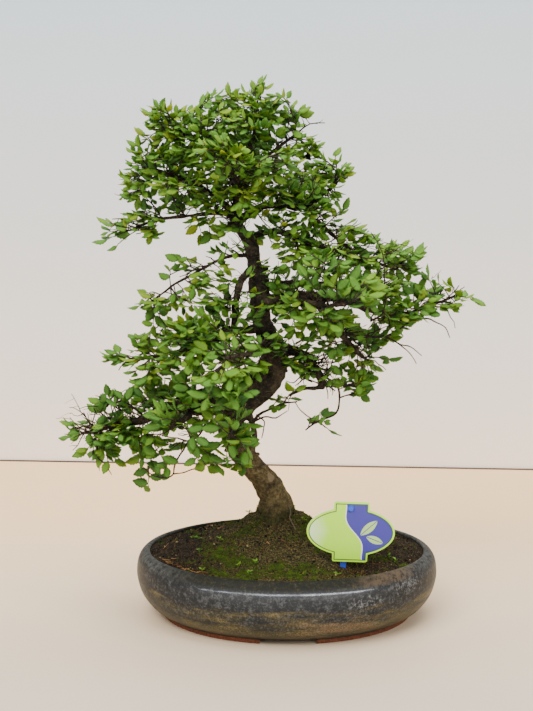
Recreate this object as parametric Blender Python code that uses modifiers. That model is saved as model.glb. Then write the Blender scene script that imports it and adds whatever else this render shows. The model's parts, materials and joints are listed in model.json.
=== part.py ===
"""A zelkova bonsai in its oval glazed pot, with soil, drain screens and a plant label.

Metres, +Z up, and the viewer looks along +Y. The pot's feet stand on z = 0, and the
origin lies under the middle of the whole part. Everything is placed from the middle of
the pot, which an empty carries to its own place beside the origin.

Run it with blender --background --python, or from the text editor.
"""

import math
import random
from collections import namedtuple

import bmesh
import bpy
from mathutils import Matrix, Vector, kdtree, noise
from mathutils.bvhtree import BVHTree

MM = 0.001

# Where the middle of the pot stands from the origin
POT_CENTRE = Vector((17, 0, 0)) * MM

# Gap that is left between two pieces that touch, and the distance at which points count as one
GAP = 0.3 * MM
WELD = 0.001 * MM

# The pot: an oval, so each half width across is this share of the half width along
POT_DEPTH_RATIO = 0.76
POT_STEPS = 36
POT_FOOT_HEIGHT = 5 * MM
POT_FLOOR_TOP = 11 * MM
# Half width along and height, from the lip's crown down the outside to the foot
POT_OUTSIDE = (
    (139.5, 64), (144, 62), (149, 54), (149.5, 40), (145, 23), (136, 11), (127, 5.5), (125, 0),
)
# The same, from the floor up the inside to the lip
POT_INSIDE = ((120, 11), (138.5, 22), (143.5, 40), (142, 54), (137, 61))
POT_FOOT_INNER = 112 * MM
FOOT_NOTCH_HEIGHT = 4.4 * MM
FOOT_NOTCH_FRONT = 53 * MM
FOOT_NOTCH_SIDE = 40 * MM
DRAIN_PLACE = 60 * MM
DRAIN_RADIUS = 9 * MM
DRAIN_SIDES = 16
# How far a cutter stands out past the material that it cuts
CUT_OVER = 5 * MM

# The plastic screen that lies over each drain hole
SCREEN_SIZE = 26 * MM
SCREEN_THICKNESS = 1 * MM
SCREEN_CELLS = 3
SCREEN_BAR = 2.5 * MM
SCREEN_ROOM = 0.6 * MM

# The soil: level just under the lip, mounded up to the trunk, steeper round its foot, with a dip at the label
SOIL_EDGE_HEIGHT = 60.5 * MM
SOIL_WALL_GAP = 0.5 * MM
SOIL_MOUND = 24 * MM
SOIL_MOUND_SPREAD = (78 * MM, 58 * MM)
SOIL_HUMP = 11 * MM
SOIL_HUMP_SPREAD = (38 * MM, 30 * MM)
LABEL_DIP = 6 * MM
LABEL_DIP_PLACE = (60 * MM, -58 * MM)
LABEL_DIP_SPREAD = (26 * MM, 19 * MM)
SOIL_RING_SHARES = (0, 0.2, 0.42, 0.72, 1)
# The mound and the lumps reach their full height this share of the way in from the rim
SOIL_FADE = 1 / 6
SOIL_LUMP_HEIGHT = 1.6 * MM
SOIL_LUMP_SIZE = 14 * MM

# The wood. The trunk's foot is a plain tapered plug in a plain hole in the soil
PLUG_CLEARANCE = 0.6 * MM
PLUG_HOLE_SIDES = 20
TRUNK_SIDES = 10
LIMB_SIDES = 6
THIN_LIMB_SIDES = 4
THIN_LIMB = 4.2 * MM
WOOD_SAMPLE_SPACING = 4 * MM

# The plant label and its stake
PLAQUE_PLACE = Vector((60, -50, 93.5)) * MM
PLAQUE_SIZE = (84 * MM, 47 * MM)
PLAQUE_SHOULDER = (34 * MM, 58.5 * MM)
PLAQUE_LEAN = math.radians(2)
PLAQUE_THICKNESS = 2.5 * MM
PLAQUE_HOLE = Vector((0, 0, 23)) * MM
PLAQUE_HOLE_RADIUS = 2.4 * MM
STAKE_SIZE = (5.6 * MM, 2 * MM, 100 * MM)
STAKE_OVER_PEG = 5 * MM
STAKE_LEAN = math.radians(7)
PLAQUE_ARC_STEPS = 6
PLAQUE_SHOULDER_TAPER = 0.97
PEG_RADIUS = 2 * MM
PEG_HEAD_RADII = (3.4 * MM, 2.4 * MM)
PEG_HEAD_THICKNESS = 1.5 * MM
PEG_SIDES = 12
# Turns a plate that lies flat to face the viewer
FACING = Matrix.Rotation(math.pi / 2, 4, "X")
STAKE_CLEARANCE = 0.4 * MM

# A leafy shoot: a slim rib with toothed leaves cut to it. Shares are of the leaf's length
RIB_HALF_WIDTH = 0.7 * MM
RIB_HALF_THICKNESS = 0.6 * MM
RIB_START = 0.5 * MM
LEAF_FOOT_HALF_WIDTH = 1 * MM
LEAF_HALF_THICKNESS = 0.6 * MM
LEAF_EDGE = ((0.28, 0.26), (0.46, 0.19), (0.6, 0.215))
LEAF_MIDDLE = 0.42
LEAF_FOLD = 0.25
LEAF_DROOP = 0.16
LEAF_ANGLE = math.radians(52)
LEAF_PLACES = (0.1, 0.55)
SHOOT_ARCH = 0.06

# How the sprays grow
TREE_MIDDLE = Vector((-30, 0, 330)) * MM
LIGHT = Vector((0, -0.35, 1))
FACE_OUTWARD = 0.45
FACE_DRAW = 0.3
SPRAY_FILL = 0.95
SHOOT_DIRECTIONS = 14
SHOOTS_PER_SPRAY = 3
SMALL_SPRAY_SHOOTS = 2
SMALL_SPRAY = 12000 * MM**3
LEAD_BARE = 10 * MM
SIDE_BARE = 3 * MM
SIDE_PLACES = (0.2, 0.9)
GOLDEN_SHARE = 0.618
SHOOT_CLEARANCE = 2.7 * MM
WOOD_CLEARANCE = 2 * MM
CLEAR_FOOT = 1 * MM
OWN_ROOT_REACH = 5.5 * MM
BEND_TRIES = 8
BEND_REACH = 0.4
BEND_SHORTENING = 0.4
ROOT_SPACING = 7 * MM
LEAD_FOOT_RADIUS = 1.8 * MM
LEAD_SEAT = 0.35 * MM
SEAT_STEP = 0.1 * MM
SEAT_CORNERS = 8
# Spacing of the places on a rib, and (share along, half width) of those on a leaf
RIB_SAMPLE_SPACING = 2.5 * MM
LEAF_SAMPLES = ((0.25, 0.24), (0.5, 0.22), (0.75, 0.13), (1, 0))

# Limbs as (x, y, z, radius) in millimetres from the middle of the pot, from root to tip
LIMBS = {
    "trunk": (
        (-11, 14, 42, 14), (-11, 14, 100, 16.6), (-12, 11.5, 110, 14.8), (-17, 9, 122, 14),
        (-26, 6, 135, 12.4), (-38, 2.5, 150, 11.7), (-47, 0, 164, 12.1), (-54, -1, 178, 12.1),
        (-55, -2, 191, 12), (-45, 0, 209, 14.6), (-32, 2, 221, 15.7), (-19, 2, 235, 15.2),
        (-12, 0, 250, 13.4), (-14, -2, 267, 12), (-22, -3, 283, 9.9), (-26, -2, 297, 9.5),
        (-27, 0, 315, 10.2), (-28, 2, 332, 9.4), (-32, 3, 345, 7), (-35, 3, 365, 7),
        (-43, 2.5, 376, 5.6), (-50, 1, 387, 4.9), (-50, 0, 403, 4.4), (-39, 0, 440, 3.4),
        (-30, 0, 478, 2.4),
    ),
    "side_stem": (
        (-35, 0, 160, 3.9), (-32, -4, 177, 3.5), (-34, -5, 189, 3.7), (-41, -3, 204, 4.6),
    ),
    "left_low": (
        (-42, 0, 208, 10.5), (-64, -8, 217, 8.4), (-85, -14, 218, 7.2), (-104, -14, 212, 6.7),
        (-124, -10, 203, 5.8), (-144, -6, 193, 5.2), (-165, -2, 189, 4.4), (-183, 0, 184, 3.4),
        (-197, 0, 179, 2.5),
    ),
    "left_low_front": (
        (-77, -12, 217, 4.8), (-85, -34, 213, 4.2), (-95, -56, 205, 3.6), (-107, -72, 198, 2.6),
    ),
    "left_low_back": ((-50, 4, 195, 6.2), (-71, 26, 197, 5), (-99, 46, 192, 4.1), (-129, 56, 195, 3)),
    "front_low": ((-48, -4, 204, 6.5), (-45, -36, 205, 5.1), (-47, -60, 199, 4), (-55, -84, 190, 2.6)),
    "left_mid": (
        (-34, -2, 341, 4.6), (-45, -11, 330, 4.2), (-50, -14, 308, 3.9), (-50, -15, 292, 3.7),
        (-60, -17, 277, 3.5), (-78, -18, 270, 3.2), (-100, -16, 264, 2.9), (-124, -9, 258, 2.5),
        (-150, -3, 253, 2),
    ),
    "left_thin": (
        (-36, 2, 355, 2.8), (-61, -2, 352, 2.2), (-86, -4, 339, 1.9), (-110, -4, 326, 1.6),
        (-132, -2, 310, 1.3),
    ),
    "left_back": ((-20, 2, 287, 5.8), (-39, 28, 279, 4.6), (-64, 44, 276, 4.1), (-91, 52, 273, 3.1)),
    "front_mid": ((-15, -4, 261, 5.2), (-24, -34, 264, 4), (-37, -58, 264, 3.3), (-57, -76, 263, 2.5)),
    "right_main": (
        (-24, -1, 308, 8.2), (-3, -6, 312, 6.6), (12, -10, 315, 6.1), (29, -13, 315, 5.6),
        (47, -13, 313, 5), (64, -11, 308, 4.4), (82, -8, 301, 3.9), (101, -5, 297, 3.3),
        (121, -2, 299, 2.7), (140, 0, 306, 2.2), (159, 0, 313, 1.6),
    ),
    "right_front": ((5, -8, 313, 4.8), (15, -34, 312, 3.8), (31, -56, 310, 3.1), (52, -68, 311, 2.4)),
    "right_back": (
        (-26, 3, 322, 5.4), (-3, 28, 325, 4.6), (24, 44, 325, 4.1), (55, 52, 321, 3.5),
        (86, 54, 319, 2.7),
    ),
    "right_drop": (
        (26, -12, 315, 5), (39, -9, 296, 4.6), (51, -5, 280, 4.2), (64, 0, 265, 3.6), (78, 4, 252, 2.6),
    ),
    "right_low": (
        (-8, 0, 264, 6.6), (13, 0, 259, 5), (25, -2, 248, 4.5), (32, -3, 237, 4.4), (35, -4, 226, 3.8),
    ),
    "right_top": (
        (-35, 4, 371, 5.2), (-20, 0, 377, 4.1), (-4, -5, 376, 3.7), (14, -9, 368, 3.5),
        (35, -10, 362, 3.2), (58, -8, 356, 2.9), (84, -4, 348, 2.3), (105, -2, 342, 1.8),
    ),
    "crown_right": (
        (-48, 0, 387, 4.7), (-26, -5, 400, 4.1), (-6, -9, 402, 3.8), (15, -9, 401, 3.4), (47, 0, 423, 2),
    ),
    "crown_right_low": ((13, -9, 401, 3), (30, -6, 386, 2.7), (45, 0, 373, 2.4), (62, 8, 360, 1.9)),
    "crown_left": (
        (-50, 0, 394, 4.4), (-62, -5, 404, 3.8), (-76, -8, 415, 3.4), (-104, -5, 428, 2.8),
        (-132, 0, 438, 1.9),
    ),
    "crown_left_low": (
        (-49, 3, 389, 4), (-63, 8, 395, 3.2), (-88, 6, 393, 2.8), (-122, 3, 389, 2.2),
        (-154, 0, 378, 1.4),
    ),
    "crown_up_left": ((-48, 0, 412, 3.8), (-59, -4, 438, 3.2), (-82, -3, 458, 2.7), (-113, 2, 480, 1.8)),
    "crown_front": ((-50, -2, 404, 3.8), (-45, -28, 418, 2.9), (-50, -48, 429, 2.1)),
    "crown_back": ((-49, 1, 408, 3.8), (-38, 28, 426, 3), (-33, 50, 441, 2.2)),
    "crown_up_right": ((-42, 0, 430, 3.4), (-24, 2, 446, 2.7), (6, 4, 468, 1.8)),
    "hanging": (
        (34, -2, 238, 1.9), (49, 0, 226, 1.6), (54, 2, 212, 1.4), (50, 2, 199, 1.3),
        (35, 0, 189, 1.2), (17, -4, 183, 1),
    ),
    "low_right_thin": ((-34, -5, 190, 2.6), (-19, -6, 198, 1.8), (-4, -8, 206, 1.4), (10, -8, 212, 1.1)),
}
ROOT_PLUG = LIMBS["trunk"][:2]
TRUNK_FOOT = Vector(ROOT_PLUG[0][:3]) * MM

# Clouds of leaves: middle, half widths and a leaf's length, in millimetres from the middle of the pot
SPRAYS = {
    "crown_top": ((-30, 0, 495), (33, 34, 26), 15),
    "crown_top_left": ((-65, -10, 480), (31, 36, 24), 15),
    "crown_top_right": ((5, 5, 480), (28, 34, 26), 15),
    "crown_lobe_left": ((-115, 0, 480), (32, 32, 26), 15),
    "crown_mid_left": ((-130, -5, 445), (33, 36, 23), 15),
    "crown_far_left": ((-150, 0, 415), (26, 30, 20), 15),
    "crown_tip_left": ((-160, 0, 380), (34, 24, 13), 16),
    "crown_front": ((-60, -60, 445), (37, 34, 28), 16),
    "crown_back": ((-55, 60, 460), (44, 36, 33), 15),
    "crown_right": ((40, 0, 435), (31, 34, 26), 15),
    "crown_front_right": ((-10, -45, 435), (34, 34, 26), 16),
    "crown_back_right": ((0, 50, 435), (39, 34, 31), 15),
    "crown_front_left": ((-100, -35, 410), (36, 30, 19), 16),
    "crown_back_left": ((-105, 40, 420), (37, 34, 27), 15),
    "crown_low_right": ((25, -15, 395), (33, 34, 17), 16),
    "crown_low_front": ((-45, -50, 400), (26, 26, 15), 18),
    "right_upper": ((65, 0, 370), (32, 34, 20), 17),
    "right_upper_far": ((110, 0, 355), (32, 32, 19), 17),
    "right_far": ((140, 0, 330), (26, 30, 20), 18),
    "right_tip": ((165, 0, 310), (28, 18, 11), 18),
    "right_front_upper": ((30, -50, 350), (32, 34, 24), 18),
    "right_front_mid": ((70, -50, 325), (34, 34, 24), 19),
    "right_front_far": ((115, -25, 300), (33, 32, 19), 18),
    "right_back_upper": ((45, 50, 345), (39, 34, 29), 16),
    "right_back_far": ((100, 50, 320), (41, 34, 29), 16),
    "right_low_front": ((35, -50, 295), (36, 34, 25), 19),
    "right_low_far": ((90, -10, 265), (33, 34, 25), 18),
    "right_low_back": ((65, 40, 275), (41, 34, 27), 16),
    "right_low": ((65, -5, 235), (35, 30, 18), 17),
    "hanging_shoot": ((30, 0, 195), (26, 14, 16), 16),
    "low_right_shoot": ((-5, -10, 212), (25, 14, 14), 16),
    "left_thin_inner": ((-90, 0, 350), (35, 18, 15), 17),
    "left_thin_outer": ((-125, 0, 310), (32, 20, 15), 16),
    "left_upper": ((-70, -20, 310), (27, 28, 21), 18),
    "left_mid": ((-140, 0, 265), (41, 30, 19), 18),
    "left_mid_front": ((-90, -50, 285), (39, 36, 25), 19),
    "left_mid_back": ((-100, 45, 275), (39, 34, 29), 16),
    "left_low_mid": ((-130, -30, 240), (34, 34, 21), 19),
    "left_low_outer": ((-175, -5, 215), (29, 30, 18), 18),
    "left_low_tip": ((-205, 0, 180), (27, 26, 16), 18),
    "left_low_under": ((-165, -25, 180), (35, 34, 21), 19),
    "left_low_front": ((-110, -65, 210), (33, 34, 24), 20),
    "left_low_back": ((-140, 45, 205), (41, 34, 27), 17),
    "centre_front": ((-60, -90, 230), (42, 30, 25), 21),
    "low_front": ((-55, -65, 175), (37, 30, 19), 22),
    "left_low_bottom": ((-120, -20, 150), (35, 34, 19), 20),
    "left_low_edge": ((-175, -5, 150), (31, 30, 15), 18),
}

# Base colour, roughness and metallic value of each piece
POT_FINISH = ((0.10, 0.115, 0.135), 0.22, 0)
SCREEN_FINISH = ((0.05, 0.12, 0.06), 0.55, 0)
SOIL_FINISH = ((0.06, 0.04, 0.025), 0.95, 0)
BARK_FINISH = ((0.21, 0.17, 0.13), 0.8, 0)
LEAF_FINISH = ((0.2, 0.42, 0.06), 0.5, 0)
PLAQUE_FINISH = ((0.5, 0.72, 0.1), 0.35, 0)
STAKE_FINISH = ((0.12, 0.2, 0.6), 0.4, 0)

Shoot = namedtuple("Shoot", "base end normal leaf")
Spray = namedtuple("Spray", "name middle radii leaf root root_radius directions shoots samples draw")


# Scene, collections and finishes


def clear_scene():
    for thing in list(bpy.data.objects):
        bpy.data.objects.remove(thing, do_unlink=True)


def new_collection(name):
    collection = bpy.data.collections.new(name)
    bpy.context.scene.collection.children.link(collection)
    return collection


def finish(thing, colour_roughness_metallic):
    colour, roughness, metallic = colour_roughness_metallic
    material = bpy.data.materials.new(thing.name)
    material.use_nodes = True
    shader = material.node_tree.nodes["Principled BSDF"]
    shader.inputs["Base Color"].default_value = (*colour, 1)
    shader.inputs["Roughness"].default_value = roughness
    shader.inputs["Metallic"].default_value = metallic
    thing.data.materials.clear()
    thing.data.materials.append(material)


def add_object(name, data, collection):
    thing = bpy.data.objects.new(name, data)
    collection.objects.link(thing)
    return thing


# Making and joining solids


def evaluated_mesh(thing):
    bpy.context.view_layer.update()
    graph = bpy.context.evaluated_depsgraph_get()
    return bpy.data.meshes.new_from_object(thing.evaluated_get(graph))


def settle(thing):
    """Puts a new mesh object in the place of one with modifiers, or of a curve."""
    name = thing.name
    mesh = evaluated_mesh(thing)
    collection = thing.users_collection[0]
    place = thing.matrix_world.copy()
    bpy.data.objects.remove(thing, do_unlink=True)
    work = bmesh.new()
    work.from_mesh(mesh)
    bmesh.ops.remove_doubles(work, verts=work.verts, dist=WELD)
    bmesh.ops.recalc_face_normals(work, faces=work.faces)
    work.to_mesh(mesh)
    work.free()
    settled = add_object(name, mesh, collection)
    settled.matrix_world = place
    return settled


def tube(name, points, radii, sides, collection):
    """A capped tube through the points, each with its own radius, as a mesh object."""
    curve = bpy.data.curves.new(name, "CURVE")
    curve.dimensions = "3D"
    curve.bevel_depth = 1
    curve.bevel_resolution = (sides - 4) // 2
    curve.use_fill_caps = True
    spline = curve.splines.new("POLY")
    spline.points.add(len(points) - 1)
    for point, place, radius in zip(spline.points, points, radii):
        point.co = (*place, 1)
        point.radius = radius
    return settle(add_object(name, curve, collection))


def turned(name, profile, steps, depth_ratio, collection):
    """An oval solid from a profile of (half width, height) that runs down its outer side."""
    mesh = bpy.data.meshes.new(name)
    places = [(x, 0, z) for x, z in profile]
    mesh.from_pydata(places, [(i, i + 1) for i in range(len(places) - 1)], [])
    thing = add_object(name, mesh, collection)
    screw = thing.modifiers.new("turn", "SCREW")
    screw.steps = steps
    screw.render_steps = steps
    screw.use_merge_vertices = True
    screw.merge_threshold = WELD
    thing = settle(thing)
    thing.data.transform(Matrix.Diagonal((1, depth_ratio, 1, 1)))
    return thing


def block(name, size, centre, collection):
    work = bmesh.new()
    bmesh.ops.create_cube(work, size=1)
    bmesh.ops.scale(work, vec=size, verts=work.verts)
    bmesh.ops.translate(work, vec=centre, verts=work.verts)
    mesh = bpy.data.meshes.new(name)
    work.to_mesh(mesh)
    work.free()
    return add_object(name, mesh, collection)


def cone(name, radii, heights, centre, sides, collection):
    """An upright cone or cylinder between two heights, with its radii at the bottom and the top."""
    work = bmesh.new()
    bottom, top = heights
    bmesh.ops.create_cone(
        work, cap_ends=True, segments=sides, radius1=radii[0], radius2=radii[1], depth=top - bottom
    )
    bmesh.ops.translate(work, vec=(centre[0], centre[1], (bottom + top) / 2), verts=work.verts)
    mesh = bpy.data.meshes.new(name)
    work.to_mesh(mesh)
    work.free()
    return add_object(name, mesh, collection)


def boolean(thing, operation, others):
    """Joins the others to the thing, or cuts them from it, and removes them."""
    group = bpy.data.collections.new("operands")
    bpy.context.scene.collection.children.link(group)
    for other in others:
        for home in list(other.users_collection):
            home.objects.unlink(other)
        group.objects.link(other)
    modifier = thing.modifiers.new("join", "BOOLEAN")
    modifier.operation = operation
    modifier.solver = "EXACT"
    modifier.operand_type = "COLLECTION"
    modifier.collection = group
    result = settle(thing)
    for other in others:
        bpy.data.objects.remove(other, do_unlink=True)
    bpy.data.collections.remove(group)
    return result


def shade(thing, angle=40):
    thing.data.shade_smooth()
    thing.data.set_sharp_from_angle(angle=math.radians(angle))


# The pot, its drain screens and the soil


def make_pot(parts, cutters):
    outside = [(x * MM, z * MM) for x, z in POT_OUTSIDE]
    under = [(POT_FOOT_INNER, 0), (POT_FOOT_INNER, POT_FOOT_HEIGHT), (0, POT_FOOT_HEIGHT)]
    inside = [(0, POT_FLOOR_TOP)] + [(x * MM, z * MM) for x, z in POT_INSIDE]
    pot = turned("pot", outside + under + inside + outside[:1], POT_STEPS, POT_DEPTH_RATIO, parts)
    width = 2 * max(half_width for half_width, _ in outside)
    notch_middle = (0, 0, (FOOT_NOTCH_HEIGHT - CUT_OVER) / 2)
    notch_height = FOOT_NOTCH_HEIGHT + CUT_OVER
    cuts = [
        block("front_notch", (FOOT_NOTCH_FRONT, width, notch_height), notch_middle, cutters),
        block("side_notch", (width, FOOT_NOTCH_SIDE, notch_height), notch_middle, cutters),
    ]
    for side in (-1, 1):
        centre = (side * DRAIN_PLACE, 0)
        heights = (-CUT_OVER, POT_FLOOR_TOP + CUT_OVER)
        cuts.append(cone("drain", (DRAIN_RADIUS,) * 2, heights, centre, DRAIN_SIDES, cutters))
    pot = boolean(pot, "DIFFERENCE", cuts)
    shade(pot)
    return pot


def make_screen(name, side, parts, cutters):
    middle = Vector((side * DRAIN_PLACE, 0, POT_FLOOR_TOP + GAP + SCREEN_THICKNESS / 2))
    screen = block(name, (SCREEN_SIZE, SCREEN_SIZE, SCREEN_THICKNESS), middle, parts)
    pitch = (SCREEN_SIZE - SCREEN_BAR) / SCREEN_CELLS
    cell = pitch - SCREEN_BAR
    cells = []
    for row in range(SCREEN_CELLS):
        for column in range(SCREEN_CELLS):
            shift = Vector((column - (SCREEN_CELLS - 1) / 2, row - (SCREEN_CELLS - 1) / 2, 0)) * pitch
            cells.append(block("cell", (cell, cell, 2 * SCREEN_THICKNESS), middle + shift, cutters))
    return boolean(screen, "DIFFERENCE", cells)


def hill(x, y, height, place, spread):
    """Height of a smooth round hill at a place."""
    return height * math.exp(-(((x - place[0]) / spread[0]) ** 2) - ((y - place[1]) / spread[1]) ** 2)


def soil_height(x, y):
    """Height of the soil's surface at a place from the middle of the pot."""
    mound = hill(x, y, SOIL_MOUND, TRUNK_FOOT, SOIL_MOUND_SPREAD)
    hump = hill(x, y, SOIL_HUMP, TRUNK_FOOT, SOIL_HUMP_SPREAD)
    dip = hill(x, y, LABEL_DIP, LABEL_DIP_PLACE, LABEL_DIP_SPREAD)
    return SOIL_EDGE_HEIGHT + mound + hump - dip


def soil_lumps(x, y):
    return SOIL_LUMP_HEIGHT * noise.noise(Vector((x, y, 0)) / SOIL_LUMP_SIZE)


def make_soil(parts, cutters):
    (under_lip, below), (lip, above) = [(x * MM, z * MM) for x, z in POT_INSIDE[-2:]]
    share = (SOIL_EDGE_HEIGHT - below) / (above - below)
    rim = under_lip + (lip - under_lip) * share - SOIL_WALL_GAP
    top = [(rim * share, SOIL_EDGE_HEIGHT) for share in SOIL_RING_SHARES]
    wall = [(x * MM - SOIL_WALL_GAP, z * MM) for x, z in reversed(POT_INSIDE[1:-2])]
    floor = POT_FLOOR_TOP + GAP
    foot = POT_INSIDE[0][0] * MM - SOIL_WALL_GAP
    profile = top + wall + [(foot, floor), (0, floor)]
    soil = turned("soil", profile, POT_STEPS, POT_DEPTH_RATIO, parts)
    for vertex in soil.data.vertices:
        x, y, z = vertex.co
        inward = max(0, 1 - math.hypot(x, y / POT_DEPTH_RATIO) / rim)
        if z > SOIL_EDGE_HEIGHT - WELD:
            lift = soil_height(x, y) - SOIL_EDGE_HEIGHT + soil_lumps(x, y)
            vertex.co.z += lift * min(1, inward / SOIL_FADE)
    (_, _, bottom, bottom_radius), (_, _, top, top_radius) = [Vector(point) * MM for point in ROOT_PLUG]
    plug_radii = (bottom_radius + PLUG_CLEARANCE, top_radius + PLUG_CLEARANCE)
    cuts = [cone("plug_hole", plug_radii, (bottom - GAP, top), TRUNK_FOOT, PLUG_HOLE_SIDES, cutters)]
    room_width = SCREEN_SIZE + 2 * SCREEN_ROOM
    room_height = 2 * (SCREEN_THICKNESS + SCREEN_ROOM)
    for side in (-1, 1):
        middle = (side * DRAIN_PLACE, 0, POT_FLOOR_TOP)
        cuts.append(block("screen_room", (room_width, room_width, room_height), middle, cutters))
    slot = block("slot", [side + 2 * STAKE_CLEARANCE for side in STAKE_SIZE], (0, 0, 0), cutters)
    slot.data.transform(stake_place())
    soil = boolean(soil, "DIFFERENCE", cuts + [slot])
    shade(soil, 60)
    return soil


# The plant label


def stake_place():
    """From the stake's own middle to its place: behind the plaque, with its peg in the plaque's hole."""
    length = STAKE_SIZE[2]
    peg = PLAQUE_PLACE + PLAQUE_HOLE
    peg.y += PLAQUE_THICKNESS / 2 + GAP + STAKE_SIZE[1] / 2
    lean = Matrix.Rotation(STAKE_LEAN, 4, "Y")
    to_peg = Matrix.Translation((0, 0, STAKE_OVER_PEG - length / 2))
    return Matrix.Translation(peg) @ lean @ to_peg


def make_plaque(parts, cutters):
    """An oval plate with a straight-sided shoulder that stands out above and below."""
    plate = bpy.data.curves.new("label_plaque", "CURVE")
    plate.dimensions = "2D"
    plate.fill_mode = "BOTH"
    plate.extrude = PLAQUE_THICKNESS / 2
    half_width, half_height = PLAQUE_SIZE[0] / 2, PLAQUE_SIZE[1] / 2
    step, shoulder = PLAQUE_SHOULDER[0] / 2, PLAQUE_SHOULDER[1] / 2
    end = math.acos(step / half_width)
    angles = [end * index / PLAQUE_ARC_STEPS for index in range(PLAQUE_ARC_STEPS + 1)]
    quarter = [(half_width * math.cos(angle), half_height * math.sin(angle)) for angle in angles]
    quarter.append((step * PLAQUE_SHOULDER_TAPER, shoulder))
    top = quarter + [(-x, z) for x, z in reversed(quarter)]
    outline = top + [(x, -z) for x, z in reversed(top[1:-1])]
    spline = plate.splines.new("POLY")
    spline.points.add(len(outline) - 1)
    for point, (x, z) in zip(spline.points, outline):
        point.co = (x, z, 0, 1)
    spline.use_cyclic_u = True
    plaque = settle(add_object("label_plaque", plate, parts))
    leaning = Matrix.Rotation(PLAQUE_LEAN, 4, "Y")
    plaque.data.transform(Matrix.Translation(PLAQUE_PLACE) @ leaning @ FACING)
    hole = cone("peg_hole", (PLAQUE_HOLE_RADIUS,) * 2, (-CUT_OVER, CUT_OVER), (0, 0), PEG_SIDES, cutters)
    hole.data.transform(Matrix.Translation(PLAQUE_PLACE + PLAQUE_HOLE) @ FACING)
    return boolean(plaque, "DIFFERENCE", [hole])


def make_stake(parts):
    """A flat strip in the soil, with a headed peg that carries the plaque."""
    stake = block("label_stake", STAKE_SIZE, (0, 0, 0), parts)
    stake.data.transform(stake_place())
    facing = Matrix.Translation(PLAQUE_PLACE + PLAQUE_HOLE) @ FACING
    back = -PLAQUE_THICKNESS / 2 - GAP - STAKE_SIZE[1] / 2
    front = PLAQUE_THICKNESS / 2 + GAP
    peg = cone("peg", (PEG_RADIUS,) * 2, (back, front + PEG_HEAD_THICKNESS / 2), (0, 0), PEG_SIDES, parts)
    heights = (front, front + PEG_HEAD_THICKNESS)
    head = cone("peg_head", PEG_HEAD_RADII, heights, (0, 0), PEG_SIDES, parts)
    for piece in (peg, head):
        piece.data.transform(facing)
    return boolean(stake, "UNION", [peg, head])


# The wood


def limb_points(limb):
    return [Vector(point[:3]) * MM for point in limb], [point[3] * MM for point in limb]


def make_wood(parts):
    pieces = []
    for name, limb in LIMBS.items():
        points, radii = limb_points(limb)
        sides = LIMB_SIDES if radii[0] > THIN_LIMB else THIN_LIMB_SIDES
        pieces.append(tube(name, points, radii, TRUNK_SIDES if name == "trunk" else sides, parts))
    wood = boolean(pieces[0], "UNION", pieces[1:])
    wood.name = "trunk_and_limbs"
    shade(wood, 60)
    return wood


# How the sprays grow


def wood_samples():
    """Places along every limb, each with the radius that the limb has there."""
    samples = []
    for limb in LIMBS.values():
        points, radii = limb_points(limb)
        for start, end, first, last in zip(points, points[1:], radii, radii[1:]):
            count = max(1, round((end - start).length / WOOD_SAMPLE_SPACING))
            for index in range(count):
                share = index / count
                samples.append((start.lerp(end, share), first + (last - first) * share))
        samples.append((points[-1], radii[-1]))
    return samples


def tree_of(places):
    tree = kdtree.KDTree(len(places))
    for index, place in enumerate(places):
        tree.insert(place, index)
    tree.balance()
    return tree


def spread_directions(first, turn):
    """Directions all round, in an order that starts near the first and leaps to the widest gap each time."""
    golden = math.pi * (3 - math.sqrt(5))
    rest = []
    for index in range(SHOOT_DIRECTIONS):
        height = 1 - 2 * (index + 0.5) / SHOOT_DIRECTIONS
        ring = math.sqrt(1 - height * height)
        angle = golden * index + turn
        rest.append(Vector((ring * math.cos(angle), ring * math.sin(angle), height)))
    rest.sort(key=lambda direction: -direction.dot(first))
    order = [rest.pop(0)]
    while rest:
        widest = min(rest, key=lambda direction: max(direction.dot(other) for other in order))
        order.append(widest)
        rest.remove(widest)
    return order


def root_of(middle, wood, roots):
    """The sample of the wood nearest to a spray's middle that no other spray grows from."""
    free = [sample for sample in wood if all((sample[0] - root).length > ROOT_SPACING for root in roots)]
    return min(free, key=lambda sample: (sample[0] - middle).length)


def start_sprays(wood):
    sprays = []
    for index, (name, (middle, radii, leaf)) in enumerate(SPRAYS.items()):
        draw = random.Random(index)
        middle = Vector(middle) * MM
        root, root_radius = root_of(middle, wood, [spray.root for spray in sprays])
        directions = spread_directions((middle - TREE_MIDDLE).normalized(), draw.uniform(0, math.tau))
        radii = Vector(radii) * MM
        sprays.append(Spray(name, middle, radii, leaf * MM, root, root_radius, directions, [], [], draw))
    return sprays


def shoot_place(shoot, along, across, lift=0):
    """A place so far along a shoot's rib, to its left and above it, with the shoot's arch and droop."""
    line = shoot.end - shoot.base
    forward = line.normalized()
    share = along / line.length
    arch = 4 * SHOOT_ARCH * line.length * share * (1 - share)
    height = lift + arch - LEAF_DROOP * across**2 / shoot.leaf
    return shoot.base + forward * along + shoot.normal.cross(forward) * across + shoot.normal * height


def leaf_nodes(shoot):
    """(place along the rib, angle from it) of the end leaf and of those behind it, right and left in turn."""
    rib = (shoot.end - shoot.base).length - shoot.leaf
    nodes = [(rib, 0)]
    for index, place in enumerate(LEAF_PLACES):
        nodes.append((rib - place * shoot.leaf, LEAF_ANGLE if index % 2 else -LEAF_ANGLE))
    return nodes


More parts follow.
